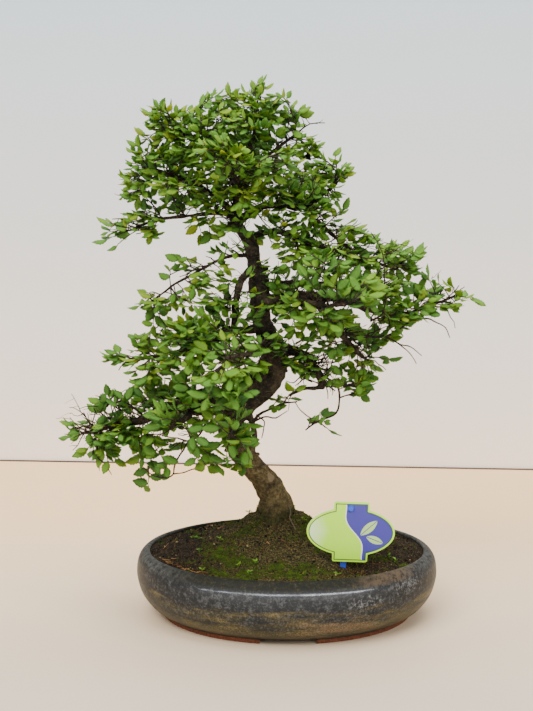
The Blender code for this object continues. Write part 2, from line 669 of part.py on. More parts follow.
def shoot_samples(shoot, root_radius):
    """Places all over a shoot's rib and leaves, which keep it clear of others and of the wood."""
    length = (shoot.end - shoot.base).length
    bare = root_radius + WOOD_CLEARANCE + CLEAR_FOOT
    count = round((length - bare) / RIB_SAMPLE_SPACING)
    samples = [shoot_place(shoot, bare + (length - bare) * step / count, 0) for step in range(count)]
    for along, angle in leaf_nodes(shoot):
        for share, half_width in LEAF_SAMPLES:
            for offset in (-half_width, 0, half_width):
                forward = (share * math.cos(angle) + offset * math.sin(angle)) * shoot.leaf
                sideways = (share * math.sin(angle) - offset * math.cos(angle)) * shoot.leaf
                samples.append(shoot_place(shoot, along + forward, sideways))
    return samples


def first_leaf(shoot):
    return min(along for along, _ in leaf_nodes(shoot))


def side_root(lead, number):
    """Where a side shoot stands on the bare part of the leading shoot."""
    near, far = SIDE_PLACES
    share = near + (far - near) * (GOLDEN_SHARE * number % 1)
    return lead.base.lerp(shoot_place(lead, first_leaf(lead), 0), share)


def try_shoot(spray, direction):
    """A shoot to the cloud's edge: the first from the limb, the others from the bare part of the first."""
    if spray.shoots:
        base = side_root(spray.shoots[0], len(spray.shoots))
        bare = SIDE_BARE
    else:
        base = spray.root
        bare = LEAD_BARE
    offset = Vector(side * reach for side, reach in zip(direction, spray.radii)) * SPRAY_FILL
    end = spray.middle + offset
    forward = (end - base).normalized()
    shortest = bare + spray.leaf * (1 + max(LEAF_PLACES))
    end = base + forward * max(shortest, (end - base).length)
    drawn = Vector(spray.draw.uniform(-FACE_DRAW, FACE_DRAW) for _ in range(3))
    facing = LIGHT + direction * FACE_OUTWARD + drawn
    normal = (facing - forward * facing.dot(forward)).normalized()
    return Shoot(base, end, normal, spray.leaf)


def is_clear(shoot, samples, wood, wood_tree, taken, own):
    """Whether a shoot keeps its distance from the wood and from other shoots, its own foot apart."""
    thickest = max(radius for _, radius in wood)
    for place in samples:
        if taken.find_range(place, SHOOT_CLEARANCE):
            return False
        at_foot = (place - shoot.base).length < OWN_ROOT_REACH
        if not at_foot and any((place - other).length < SHOOT_CLEARANCE for other in own):
            return False
        for _, index, distance in wood_tree.find_range(place, thickest + WOOD_CLEARANCE):
            if distance < wood[index][1] + WOOD_CLEARANCE:
                return False
    return True


def grow_shoot(spray, wood, wood_tree, taken):
    """Adds one shoot, bent clear of what is there, in the first direction that has room for it."""
    while spray.directions:
        direction = spray.directions.pop(0)
        for bend in range(BEND_TRIES):
            reach = BEND_REACH * bend / BEND_TRIES
            bent = direction + Vector(spray.draw.uniform(-reach, reach) for _ in range(3))
            shoot = try_shoot(spray, bent.normalized() * (1 - reach * BEND_SHORTENING))
            samples = shoot_samples(shoot, spray.root_radius)
            if is_clear(shoot, samples, wood, wood_tree, taken, spray.samples):
                spray.shoots.append(shoot)
                spray.samples.extend(samples)
                return


def grow_sprays():
    """Every spray, with one shoot more on each spray in turn, so that all have a fair share of the room."""
    wood = wood_samples()
    wood_tree = tree_of([place for place, _ in wood])
    sprays = start_sprays(wood)
    for turn in range(SHOOTS_PER_SPRAY):
        for spray in sprays:
            if turn >= SMALL_SPRAY_SHOOTS and math.prod(spray.radii) < SMALL_SPRAY:
                continue
            taken = [place for other in sprays if other is not spray for place in other.samples]
            grow_shoot(spray, wood, wood_tree, tree_of(taken))
    return sprays


# The leafy sprays as solids


def shoot_solid(name, shoot, foot_radius, collection):
    """A shoot as one closed blade: rib and leaves are thick along their middles and sharp at the edge."""
    places = []
    faces = []

    def point(along, across, lift=0, half_thickness=0):
        """A point of the edge, or a pair of points of the upper and the lower face."""
        top = len(places)
        places.append(shoot_place(shoot, along, across, lift + half_thickness))
        if not half_thickness:
            return top, top
        places.append(shoot_place(shoot, along, across, lift - half_thickness))
        return top, top + 1

    def triangle(first, second, third):
        """The same triangle on the upper face and, turned round, on the lower one."""
        faces.append((first[0], second[0], third[0]))
        faces.append((third[1], second[1], first[1]))

    def leaf(node, along, angle, right_corner, left_corner):
        """A leaf as triangles round its middle. Its corners join it to the rib."""

        def on_leaf(share, half_width, half_thickness=0):
            forward = share * math.cos(angle) + half_width * math.sin(angle)
            sideways = share * math.sin(angle) - half_width * math.cos(angle)
            lift = LEAF_FOLD * abs(half_width) * shoot.leaf
            return point(along + forward * shoot.leaf, sideways * shoot.leaf, lift, half_thickness)

        middle = on_leaf(LEAF_MIDDLE, 0, LEAF_HALF_THICKNESS)
        right = [on_leaf(share, half_width) for share, half_width in LEAF_EDGE]
        tip = on_leaf(1, 0)
        left = [on_leaf(share, -half_width) for share, half_width in reversed(LEAF_EDGE)]
        ring = [node, right_corner, *right, tip, *left, left_corner]
        for first, second in zip(ring, ring[1:] + ring[:1]):
            triangle(first, second, middle)

    leaves = sorted(leaf_nodes(shoot))
    nodes = [point(RIB_START, 0, 0, foot_radius)]
    nodes += [point(along, 0, 0, RIB_HALF_THICKNESS) for along, _ in leaves]
    ends = {}
    for side in (-1, 1):
        edge = side * RIB_HALF_WIDTH
        run = [(point(0, side * foot_radius), 0)]
        for number, (along, angle) in enumerate(leaves[:-1], start=1):
            if angle * side > 0:
                near = point(along - LEAF_FOOT_HALF_WIDTH, edge)
                far = point(along + LEAF_FOOT_HALF_WIDTH, edge)
                run += [(near, number), (far, number)]
                corners = (near, far) if side < 0 else (far, near)
                leaf(nodes[number], along, angle, *corners)
        run.append((point(leaves[-1][0], edge), len(leaves)))
        ends[side] = (run[0][0], run[-1][0])
        for (start, first), (stop, last) in zip(run[::2], run[1::2]):
            fan = [(start, stop, nodes[last])]
            fan += [(start, nodes[number], nodes[number - 1]) for number in range(last, first, -1)]
            for corners in fan:
                triangle(*(corners if side < 0 else reversed(corners)))
    triangle(ends[1][0], ends[-1][0], nodes[0])
    leaf(nodes[-1], leaves[-1][0], 0, ends[-1][1], ends[1][1])
    mesh = bpy.data.meshes.new(name)
    mesh.from_pydata(places, [], faces)
    return add_object(name, mesh, collection)


def seated(lead, radius, wood_surface):
    """The leading shoot with its foot moved out of the limb until all of its end lies clear of the bark."""
    forward = (lead.end - lead.base).normalized()
    side = lead.normal * radius
    turns = [math.tau * turn / SEAT_CORNERS for turn in range(SEAT_CORNERS)]
    corners = [Matrix.Rotation(turn, 4, forward) @ side for turn in turns]
    foot = lead.base.copy()
    while True:
        clear = True
        for place in [foot] + [foot + corner for corner in corners]:
            nearest, normal, _, distance = wood_surface.find_nearest(place)
            clear = clear and distance > LEAD_SEAT and (place - nearest).dot(normal) > 0
        if clear:
            return lead._replace(base=foot)
        foot = foot + forward * SEAT_STEP


def make_spray(spray, wood_surface, parts):
    """The leading shoot with the others' feet sunk in it, by one union each, which leaves few slivers."""
    foot_radius = min(LEAD_FOOT_RADIUS, spray.root_radius)
    lead = seated(spray.shoots[0], foot_radius, wood_surface)
    thing = shoot_solid("foliage_" + spray.name, lead, foot_radius, parts)
    for number, shoot in enumerate(spray.shoots[1:], start=1):
        rooted = shoot._replace(base=side_root(lead, number))
        thing = boolean(thing, "UNION", [shoot_solid("shoot", rooted, RIB_HALF_THICKNESS, parts)])
    return thing


def make_bonsai():
    clear_scene()
    parts = new_collection("zelkova_bonsai")
    cutters = new_collection("cutters")
    wood = make_wood(parts)
    pieces = [
        (make_pot(parts, cutters), POT_FINISH),
        (make_screen("drain_screen_left", -1, parts, cutters), SCREEN_FINISH),
        (make_screen("drain_screen_right", 1, parts, cutters), SCREEN_FINISH),
        (make_soil(parts, cutters), SOIL_FINISH),
        (wood, BARK_FINISH),
        (make_plaque(parts, cutters), PLAQUE_FINISH),
        (make_stake(parts), STAKE_FINISH),
    ]
    bpy.context.view_layer.update()
    wood_surface = BVHTree.FromObject(wood, bpy.context.evaluated_depsgraph_get())
    for spray in grow_sprays():
        pieces.append((make_spray(spray, wood_surface, parts), LEAF_FINISH))
    stand = bpy.data.objects.new("pot_middle", None)
    parts.objects.link(stand)
    stand.location = POT_CENTRE
    for piece, look in pieces:
        piece.parent = stand
        finish(piece, look)
    bpy.data.collections.remove(cutters)


make_bonsai()
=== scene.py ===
# %% [markdown]
# # A zelkova bonsai in its glazed pot
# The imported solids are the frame: they say where everything stands. This lesson dresses them
# with finer shapes and finishes. Each step first says what the real thing is, and then makes it.

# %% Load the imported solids
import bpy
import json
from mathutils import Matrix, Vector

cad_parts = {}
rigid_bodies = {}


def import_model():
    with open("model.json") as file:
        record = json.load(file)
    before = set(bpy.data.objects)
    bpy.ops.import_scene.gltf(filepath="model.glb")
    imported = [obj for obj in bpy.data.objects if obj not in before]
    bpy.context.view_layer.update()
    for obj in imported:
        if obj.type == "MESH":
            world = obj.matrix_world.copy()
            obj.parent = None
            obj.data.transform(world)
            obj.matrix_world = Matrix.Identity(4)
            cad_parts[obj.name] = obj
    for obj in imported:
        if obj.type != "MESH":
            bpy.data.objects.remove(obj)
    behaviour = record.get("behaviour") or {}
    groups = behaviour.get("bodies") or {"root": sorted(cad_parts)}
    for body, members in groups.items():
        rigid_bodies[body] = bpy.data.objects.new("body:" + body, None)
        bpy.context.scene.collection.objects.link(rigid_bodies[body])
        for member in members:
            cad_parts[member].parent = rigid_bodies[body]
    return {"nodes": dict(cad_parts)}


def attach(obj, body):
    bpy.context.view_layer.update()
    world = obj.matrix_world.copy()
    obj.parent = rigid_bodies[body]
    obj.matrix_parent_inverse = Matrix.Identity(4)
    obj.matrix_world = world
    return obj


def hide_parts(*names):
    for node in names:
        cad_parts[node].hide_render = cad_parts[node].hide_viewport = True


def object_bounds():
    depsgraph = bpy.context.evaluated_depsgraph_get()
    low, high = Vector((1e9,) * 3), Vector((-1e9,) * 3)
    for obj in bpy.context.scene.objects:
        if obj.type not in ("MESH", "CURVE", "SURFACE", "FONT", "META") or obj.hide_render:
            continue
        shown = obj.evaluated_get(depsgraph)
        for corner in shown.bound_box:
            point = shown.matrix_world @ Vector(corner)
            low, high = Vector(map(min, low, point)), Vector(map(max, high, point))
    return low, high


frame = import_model()
cad_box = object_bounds()
cad_sides = [round(side, 3) for side in cad_box[1] - cad_box[0]]
print("Solids:", len(frame["nodes"]), "in a box of", cad_sides, "m")

# %% Tools for the whole lesson
import json
import random
from collections import namedtuple
from math import acos, atan2, ceil, copysign, cos, degrees, exp, hypot, pi, prod, radians, sin, sqrt, tau

import bmesh
import bpy
import numpy as np
from mathutils import Matrix, Vector, kdtree, noise

MM = 0.001
# Unless it is seeded, the vector noise differs from run to run.
noise.seed_set(1)
print("Blender works in metres, and this lesson counts in millimetres of", MM, "m.")

# %% [markdown]
# ## The camera
# Everything below is measured from the middle of the pot, which stands 17 mm to the right of the
# frame's own origin. The photograph was taken from a metre away, a little above the middle of the
# tree, looking slightly down. A lens of 52 mm gives its perspective, so near leaves are larger.

# %% Place the camera
POT_CENTRE = Vector((17, 0, 0)) * MM
camera = bpy.data.objects.new("camera", bpy.data.cameras.new("camera"))
camera.data.lens = 51.95
camera.location = POT_CENTRE + Vector((-20.1, -1000, 374)) * MM
camera.rotation_euler = (radians(90 - 6.7), 0, 0)
bpy.context.scene.collection.objects.link(camera)
bpy.context.scene.camera = camera
print("The camera stands", round(camera.location.length, 2), "m from the pot.")

# %% [markdown]
# ## A small language for finishes
# A finish is a graph of nodes. Written out node by node it is long and hard to read, so a Signal
# wraps one output and Python's own signs add the Math nodes. Everything else, such as a noise or
# a colour ramp, comes from one method that sets the node up and then fills its sockets.


# %% Signals and finishes
class Signal:
    """One output of a finish's nodes. Arithmetic on it adds Math nodes."""

    def __init__(self, finish, socket):
        self.finish = finish
        self.socket = socket

    def out(self, name):
        return Signal(self.finish, self.socket.node.outputs[name])

    def math(self, operation, *inputs, clamp=False):
        settings = {"operation": operation, "use_clamp": clamp}
        return self.finish.node("Math", settings, dict(enumerate(inputs)))

    def __add__(self, other):
        return self.math("ADD", self, other)

    def __sub__(self, other):
        return self.math("SUBTRACT", self, other)

    def __mul__(self, other):
        return self.math("MULTIPLY", self, other)

    def __truediv__(self, other):
        return self.math("DIVIDE", self, other)

    def __pow__(self, other):
        return self.math("POWER", self, other)

    def __rsub__(self, other):
        return self.math("SUBTRACT", other, self)

    def __gt__(self, other):
        return self.math("GREATER_THAN", self, other)

    def __abs__(self):
        return self.math("ABSOLUTE", self)

    __radd__ = __add__
    __rmul__ = __mul__

    def larger(self, other):
        return self.math("MAXIMUM", self, other)

    def smaller(self, other):
        return self.math("MINIMUM", self, other)

    def fade(self, start, end):
        """0 up to the start and 1 from the end on. It runs the other way if the end is the lower."""
        return self.math("MULTIPLY_ADD", self, 1 / (end - start), -start / (end - start), clamp=True)


class Finish:
    """A material whose Principled shader is fed step by step."""

    def __init__(self, name, **values):
        self.material = bpy.data.materials.new(name)
        self.material.use_nodes = True
        self.tree = self.material.node_tree
        self.shader = self.tree.nodes["Principled BSDF"]
        for socket, value in values.items():
            self.feed(socket.replace("_", " "), value)

    def node(self, kind, settings, inputs, output=0):
        """A new node with these settings and inputs, known by one of its outputs."""
        node = self.tree.nodes.new("ShaderNode" + kind)
        for setting, value in settings.items():
            if setting == "stops":
                for index, (place, colour) in enumerate(value):
                    if index > 1:
                        node.color_ramp.elements.new(place)
                    node.color_ramp.elements[index].position = place
                    node.color_ramp.elements[index].color = (*colour, 1)
            else:
                setattr(node, setting, value)
        for name, value in inputs.items():
            self.fill(node.inputs[name], value)
        return Signal(self, node.outputs[output])

    def fill(self, socket, value):
        if isinstance(value, Signal):
            self.tree.links.new(value.socket, socket)
        elif isinstance(value, tuple) and len(value) == 3 and socket.type == "RGBA":
            socket.default_value = (*value, 1)
        else:
            socket.default_value = value

    def feed(self, socket, value):
        self.fill(self.shader.inputs[socket], value)

    def place(self):
        """Where on the piece the surface is, in metres from the piece's own origin."""
        return self.node("TexCoord", {}, {}, "Object")

    def split(self, vector):
        return [self.node("SeparateXYZ", {}, {0: vector}).out(name) for name in "XYZ"]

    def note(self, name, output="Fac"):
        """What the mesh notes under this name for each of its points."""
        return self.node("Attribute", {"attribute_name": name}, {}, output)

    def stretch(self, vector, scale):
        return self.node("VectorMath", {"operation": "MULTIPLY"}, {0: vector, 1: scale})

    def clouds(self, size, detail=4, vector=None, roughness=0.55):
        """Soft noise round 0.5, with lumps of about this size in metres."""
        sockets = {"Scale": 1 / size, "Detail": detail, "Roughness": roughness}
        sockets["Vector"] = vector or self.place()
        return self.node("TexNoise", {}, sockets)

    def cells(self, size):
        return self.node("TexVoronoi", {}, {"Scale": 1 / size, "Vector": self.place()})

    def blend(self, factor, first, second):
        """The first colour where the factor is 0, and the second where it is 1."""
        return self.node("Mix", {"data_type": "RGBA"}, {0: factor, 6: first, 7: second}, 2)

    def ramp(self, factor, *stops):
        return self.node("ValToRGB", {"stops": stops}, {0: factor})

    def relief(self, height, depth, strength=1.0):
        """Makes the surface look raised where the height is 1, by this depth in metres."""
        inputs = {"Height": height, "Distance": depth, "Strength": strength}
        self.feed("Normal", self.node("Bump", {}, inputs))


print("Finishes can be mixed.")

# %% [markdown]
# ## Placing a piece
# Each piece is measured from the middle of the pot, so its object is moved there. Nothing on a
# tree moves by itself, so all pieces ride on the one body, and a piece names the solids that it
# stands for. A solid that has the right form already only gets a finish.


# %% Add a piece
triangle_counts = {}


def add_piece(name, mesh, finish, replaces=(), place=None):
    piece = bpy.data.objects.new(name, mesh)
    piece.matrix_world = Matrix.Translation(POT_CENTRE) @ (place or Matrix.Identity(4))
    bpy.context.scene.collection.objects.link(piece)
    mesh.materials.clear()
    mesh.materials.append(finish.material)
    mesh.shade_smooth()
    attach(piece, "root")
    if replaces:
        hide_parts(*replaces)
    mesh.calc_loop_triangles()
    triangle_counts[name] = len(mesh.loop_triangles)


def finish_solid(name, finish):
    materials = frame["nodes"][name].data.materials
    materials.clear()
    materials.append(finish.material)


def mesh_from(name, places, faces, notes=None):
    """A mesh from its points and faces, with what is noted for each point."""
    mesh = bpy.data.meshes.new(name)
    mesh.from_pydata(np.asarray(places).tolist(), [], [tuple(face) for face in faces])
    for note, values in (notes or {}).items():
        values = np.asarray(values, np.float32)
        kind, key = ("FLOAT", "value") if values.ndim == 1 else ("FLOAT_VECTOR", "vector")
        mesh.attributes.new(note, kind, "POINT").data.foreach_set(key, values.ravel())
    return mesh


def applied(shape, modifiers=()):
    """The mesh that a mesh or curve becomes under modifiers, each given as (type, settings)."""
    helper = bpy.data.objects.new("helper", shape)
    bpy.context.scene.collection.objects.link(helper)
    for kind, settings in modifiers:
        modifier = helper.modifiers.new(kind.lower(), kind)
        for setting, value in settings.items():
            setattr(modifier, setting, value)
    bpy.context.view_layer.update()
    result = bpy.data.meshes.new_from_object(helper.evaluated_get(bpy.context.evaluated_depsgraph_get()))
    bpy.data.objects.remove(helper, do_unlink=True)
    return result


print("Pieces can be placed.")

# %% [markdown]
# ## Lines and tubes
# The pot's outline, the limbs and the twigs are all known by a few measured points. A Catmull-Rom
# curve runs smoothly through them. Sweeping a ring along it makes a tube: each ring is turned as
# little as possible from the last, so the tube doesn't twist. Blender's curves could do this too,
# but rings made here can also carry notes for the finish.


# %% Curves and tubes
def through(points, step):
    """Rows on a smooth line through the given rows, about a step apart in their first three columns."""
    rows = np.array(points, float)
    padded = np.vstack([2 * rows[0] - rows[1], rows, 2 * rows[-1] - rows[-2]])
    result = []
    for before, start, end, after in zip(padded, padded[1:], padded[2:], padded[3:]):
        count = max(1, ceil(np.linalg.norm((end - start)[:3]) / step))
        for share in np.arange(count) / count:
            pull = (end - before) * share
            bend = (2 * before - 5 * start + 4 * end - after) * share**2
            turn = (3 * start - before - 3 * end + after) * share**3
            result.append(start + 0.5 * (pull + bend + turn))
    return np.array(result + [rows[-1]])


def swept(rows, sides):
    """Points and faces of a closed tube along rows of x, y, z and radius."""
    places = rows[:, :3]
    ways = np.gradient(places, axis=0)
    ways /= np.linalg.norm(ways, axis=1)[:, None]
    first = np.cross(ways[0], (0.3, 0.9, 0.1))
    rings = []
    angles = np.arange(sides) * tau / sides
    for place, way, radius in zip(places, ways, rows[:, 3]):
        first = first - way * first.dot(way)
        first = first / np.linalg.norm(first)
        second = np.cross(way, first)
        ring = np.outer(np.cos(angles), first) + np.outer(np.sin(angles), second)
        rings.append(place + ring * radius)
    points = np.vstack(rings + [places[:1], places[-1:]])
    last = len(points) - 1
    faces = []
    for ring in range(len(rows) - 1):
        for side in range(sides):
            low, high = ring * sides, (ring + 1) * sides
            after = (side + 1) % sides
            faces.append((low + side, low + after, high + after, high + side))
    for side in range(sides):
        after = (side + 1) % sides
        faces.append((last - 1, after, side))
        faces.append((last, (len(rows) - 1) * sides + side, (len(rows) - 1) * sides + after))
    return points, faces


def joined(solids):
    """The points and faces of many solids as one."""
    places = []
    faces = []
    start = 0
    for points, corners in solids:
        places.append(points)
        faces += [tuple(corner + start for corner in face) for face in corners]
        start += len(points)
    return np.vstack(places), faces


def add_solids(name, solids, finish, tones=None):
    """One piece out of many solids in millimetres, with a tone for each of their points."""
    points, faces = joined(solids)
    add_piece(name, mesh_from(name, points * MM, faces, {"tone": tones} if tones else {}), finish)


def tree_of(places):
    """A search tree that finds the nearest of many places."""
    tree = kdtree.KDTree(len(places))
    for index, place in enumerate(places):
        tree.insert(place, index)
    tree.balance()
    return tree


print("A straight tube has", len(swept(np.array([(0, 0, 0, 1), (0, 0, 1, 1.0)]), 6)[1]), "faces.")

# %% [markdown]
# ## The pot
# The real pot is thrown clay, pressed to an oval. Its wall leans out from the foot, swells to a
# round shoulder and turns in to a soft lip. A profile turned round the middle and narrowed in
# depth gives that oval. The solid has few steps, so a finer one with the same profile replaces it.

# %% Shape the pot
POT_DEPTH_RATIO = 0.76
POT_STEPS = 160
PROFILE_STEP = 3
LIP_TO_FOOT = (
    (139, 64), (141.4, 63.2), (144.2, 61), (146.8, 57.4), (148.6, 52.6), (149.5, 46), (149.2, 37),
    (145, 23), (136, 11), (127.5, 5.8),
)
FOOT_LINE = ((126.2, 5), (125.2, 4.6), (125, 0.8), (124.3, 0), (112.8, 0), (112, 0.8), (112, 5))
FLOOR_TO_LIP = ((117, 11), (122, 11.6), (130, 15), (138.5, 22), (143.5, 40), (142, 54), (137, 61))
LIP_CROWN = ((136.4, 62.4), (137.2, 63.6))
NOTCHES = ((53, 300, 20), (300, 40, 20))
NOTCH_MIDDLE = -5.6
DRAIN_PLACE = 60
DRAIN_RADIUS = 9
DRAIN_DEPTH = 40
DRAIN_SIDES = 48


def turned_pot():
    flat = [(x, z, 0) for x, z in LIP_TO_FOOT]
    inner = [(x, z, 0) for x, z in FLOOR_TO_LIP]
    profile = [(x, z) for x, z, _ in through(flat, PROFILE_STEP)] + list(FOOT_LINE)
    profile += [(0, 5), (0, 11)] + [(x, z) for x, z, _ in through(inner, PROFILE_STEP)] + list(LIP_CROWN)
    angles = np.arange(POT_STEPS) * tau / POT_STEPS
    points = []
    rows = []
    for x, z in profile:
        if x:
            rows.append([len(points) + step for step in range(POT_STEPS)])
            points += [(x * cos(a), x * sin(a) * POT_DEPTH_RATIO, z) for a in angles]
        else:
            rows.append([len(points)] * POT_STEPS)
            points.append((0, 0, z))
    faces = []
    for upper, lower in zip(rows, rows[1:] + rows[:1]):
        for step in range(POT_STEPS):
            after = (step + 1) % POT_STEPS
            ring = (upper[step], lower[step], lower[after], upper[after])
            face = tuple(dict.fromkeys(ring))
            if len(face) > 2:
                faces.append(face)
    return mesh_from("pot_body", np.array(points) * MM, faces)


def cutter(size, centre, round_sides=0):
    """A mesh that only cuts: a block, or an upright cylinder of (radius, height) with round sides."""
    work = bmesh.new()
    if round_sides:
        bmesh.ops.create_cone(
            work, cap_ends=True, segments=round_sides, radius1=size[0] * MM, radius2=size[0] * MM,
            depth=size[1] * MM,
        )
    else:
        bmesh.ops.create_cube(work, size=1)
        bmesh.ops.scale(work, vec=Vector(size) * MM, verts=work.verts)
    bmesh.ops.translate(work, vec=Vector(centre) * MM, verts=work.verts)
    mesh = bpy.data.meshes.new("cutter")
    work.to_mesh(mesh)
    work.free()
    return mesh


def cut(mesh, cutters):
    group = bpy.data.collections.new("cutters")
    for cutting in cutters:
        group.objects.link(bpy.data.objects.new("cutter", cutting))
    settings = {"operation": "DIFFERENCE", "solver": "EXACT", "operand_type": "COLLECTION"}
    result = applied(mesh, [("BOOLEAN", {**settings, "collection": group})])
    for thing in list(group.objects):
        bpy.data.objects.remove(thing, do_unlink=True)
    bpy.data.collections.remove(group)
    return result


pot_mesh = turned_pot()
pot_cutters = [cutter(notch, (0, 0, NOTCH_MIDDLE)) for notch in NOTCHES]
for side in (-1, 1):
    pot_cutters.append(cutter((DRAIN_RADIUS, DRAIN_DEPTH), (side * DRAIN_PLACE, 0, 8), DRAIN_SIDES))
pot_mesh = cut(pot_mesh, pot_cutters)
print("The pot has", len(pot_mesh.polygons), "faces.")

# %% [markdown]
# The glaze is a glossy slate blue that broke to olive brown low on the wall, where it ran thin;
# part of that olive is painted reflection of the pale floor. Watering left pale scale on it,
# mostly low and at the right. The lip is dark olive, partly dirt and partly painted dark
# reflection, and the wall just above the foot is painted darker as shade. The foot wasn't glazed,
# so it shows the red clay. Height picks between these, and noise breaks up every border.

# %% Glaze the pot
glaze = Finish("slate_glaze", Coat_Roughness=0.1, Specular_IOR_Level=0.2)
pot_x, pot_y, pot_height = [axis / MM for axis in glaze.split(glaze.place())]
streaks = glaze.clouds(30 * MM, 7, glaze.stretch(glaze.place(), (0.7, 0.7, 3.4)), 0.62)
runs = glaze.clouds(7 * MM, 6, glaze.stretch(glaze.place(), (1.6, 1.6, 0.45)), 0.7)
mottle = glaze.clouds(4 * MM, 7, roughness=0.7)
speckle = glaze.clouds(1.6 * MM, 5, roughness=0.75)
in_front = pot_y.fade(0, -20)


def blot(x, height, half_width, half_height):
    """1 in the middle of an oval patch on the wall, 0 at its edge and less outside."""
    return 1 - ((pot_x - x) / half_width) ** 2.0 - ((pot_height - height) / half_height) ** 2.0


slate = glaze.ramp(
    runs * 0.4 + mottle * 0.6, (0.33, (0.003, 0.004, 0.005)), (0.52, (0.013, 0.0145, 0.016)),
    (0.70, (0.060, 0.065, 0.070)),
)
olive = glaze.ramp(
    streaks * 0.4 + speckle * 0.6, (0.33, (0.010, 0.010, 0.004)), (0.5, (0.050, 0.044, 0.018)),
    (0.62, (0.16, 0.118, 0.040)),
)
# Olive brown low on the wall: partly the glaze, partly painted reflection of the pale floor.
brown = (pot_height.fade(46, 12) * 1.3 + (streaks - 0.5) * 3.0 - 0.45).fade(0.0, 0.6)
patch = (blot(52, 21, 52, 11) * 0.8 + (streaks - 0.5) * 6 - 0.25).fade(0.0, 1.0) * in_front
rust = glaze.blend(speckle.fade(0.3, 0.7), (0.050, 0.031, 0.015), (0.21, 0.135, 0.070))
body = glaze.blend(patch * 0.85, glaze.blend(brown, slate, olive), rust)
scuffed = blot(70, 42, 20, 9).fade(0.0, 0.8).larger(blot(112, 50, 20, 10).fade(0.0, 0.8))
scale_place = (scuffed * in_front).larger(0.25)
scale = (speckle * 0.5 + mottle * 0.5).fade(0.5, 0.6) * scale_place
scaled = glaze.blend(scale * 0.75, body, (0.26, 0.26, 0.25))
lip = (pot_height + (mottle - 0.5) * 9).fade(54, 58)
lip_end = abs(pot_x + 10).fade(70, 120)
chalk = glaze.blend(mottle.fade(0.36, 0.66), (0.010, 0.011, 0.011), (0.085, 0.084, 0.075))
# The lip's dark olive band: partly dirt, partly painted dark reflection.
dark_lip_dirt_and_reflection = glaze.ramp(
    speckle * 0.6 + mottle * 0.4, (0.36, (0.003, 0.003, 0.001)), (0.52, (0.009, 0.009, 0.003)),
    (0.66, (0.055, 0.045, 0.017)),
)
tan_edge = pot_x.fade(55, 80) * pot_x.fade(125, 105) * in_front * mottle.fade(0.35, 0.55)
lip_colour = glaze.blend(tan_edge * 0.7, glaze.blend(lip_end, dark_lip_dirt_and_reflection, chalk), (0.11, 0.068, 0.030))
with_lip_dirt_and_reflection = glaze.blend(lip * 0.92, scaled, lip_colour)
# Painted shade: the wall is darkened just above the foot, where it turns in under the pot.
shaded = glaze.blend(pot_height.fade(14, 6) * 0.7, with_lip_dirt_and_reflection, (0.010, 0.009, 0.006))
clay = glaze.blend(speckle.fade(0.3, 0.7), (0.030, 0.009, 0.005), (0.26, 0.075, 0.028))
foot = (pot_height + (mottle - 0.5) * 3).fade(4.2, 3.4)
glaze.feed("Base Color", glaze.blend(foot, shaded, clay))
dull = speckle * 0.3 + foot * 0.4 + scale * 0.3 + patch * 0.2 + lip * 0.3 + 0.32
glaze.feed("Roughness", dull.smaller(0.9))
broken = streaks.fade(0.36, 0.6) * (mottle.fade(0.38, 0.6) * 0.6 + 0.4)
shoulder = abs(pot_height - 52.5).fade(9, 3) * abs(pot_x - 4).fade(108, 64) * broken
bare = (1 - foot) * (1 - scale) * (1 - patch * 0.6) * (1 - lip * 0.9)
glaze.feed("Coat Weight", (shoulder * 0.8 + 0.06) * bare)
glaze.relief(mottle * 0.5 + streaks + speckle * 0.3, 0.8 * MM, 0.45)
add_piece("pot_body", pot_mesh, glaze, ["pot"])
print("The glaze has", len(glaze.tree.nodes), "nodes.")

# %% [markdown]
# ## The drain screens
# Two squares of green plastic mesh keep the soil in over the drain holes. Their solids have the
# right shape already, so they only get their finish: moulded plastic, dulled by soil.

# %% Finish the drain screens
screen_plastic = Finish("screen_plastic", Roughness=0.55)
dirt = screen_plastic.clouds(3 * MM, 5)
screen_plastic.feed("Base Color", screen_plastic.blend(dirt, (0.02, 0.07, 0.03), (0.07, 0.08, 0.045)))
screen_plastic.feed("Roughness", dirt * 0.4 + 0.35)
screen_plastic.relief(dirt, 0.2 * MM)
for name in ("drain_screen_left", "drain_screen_right"):
    finish_solid(name, screen_plastic)
print("Two drain screens are finished.")

# %% [markdown]
# ## The soil
# Peat and clay crumbs fill the pot to just under its lip and rise to the trunk, where they stand
# highest. Round the label there is a hollow. A round grid, narrowed like the pot, follows these
# hills. Noise at three sizes makes hollows, lumps and crumbs, and the same grid closes over a wall
# and a floor, so that the soil is one solid.

# %% Shape the soil
TRUNK_FOOT = (-11, 14)
SOIL_EDGE_HEIGHT = 60.5
SOIL_MOUND = 24
SOIL_MOUND_SPREAD = (78, 58)
SOIL_HUMP = 11
SOIL_HUMP_SPREAD = (38, 30)
LABEL_DIP = 11.5
LABEL_DIP_PLACE = (60, -58)
LABEL_DIP_SPREAD = (24, 18)
SOIL_CLUMPS = ((5, (22, 12), (13, 14)), (4, (-38, 10), (7, 10)), (7, TRUNK_FOOT, (21, 20)))
SOIL_RIM = 136.9
SOIL_UNDERSIDE = ((142.4, 42), (137.6, 22), (118, 12.8))
SOIL_RINGS = 120
SOIL_STEPS = 260
MOSS_PATCHES = (
    (-62, -36, 24, 36), (-16, -84, 68, 16), (-52, -64, 36, 20), (22, -4, 15, 20), (14, -70, 40, 18),
    (10, 54, 60, 20), (98, -38, 14, 10), (-38, -8, 16, 16),
)
BARE_AT_LABEL = (16, 12)


def roughened(x, y, size, seed=0):
    return noise.noise(Vector((x / size, y / size, seed)))


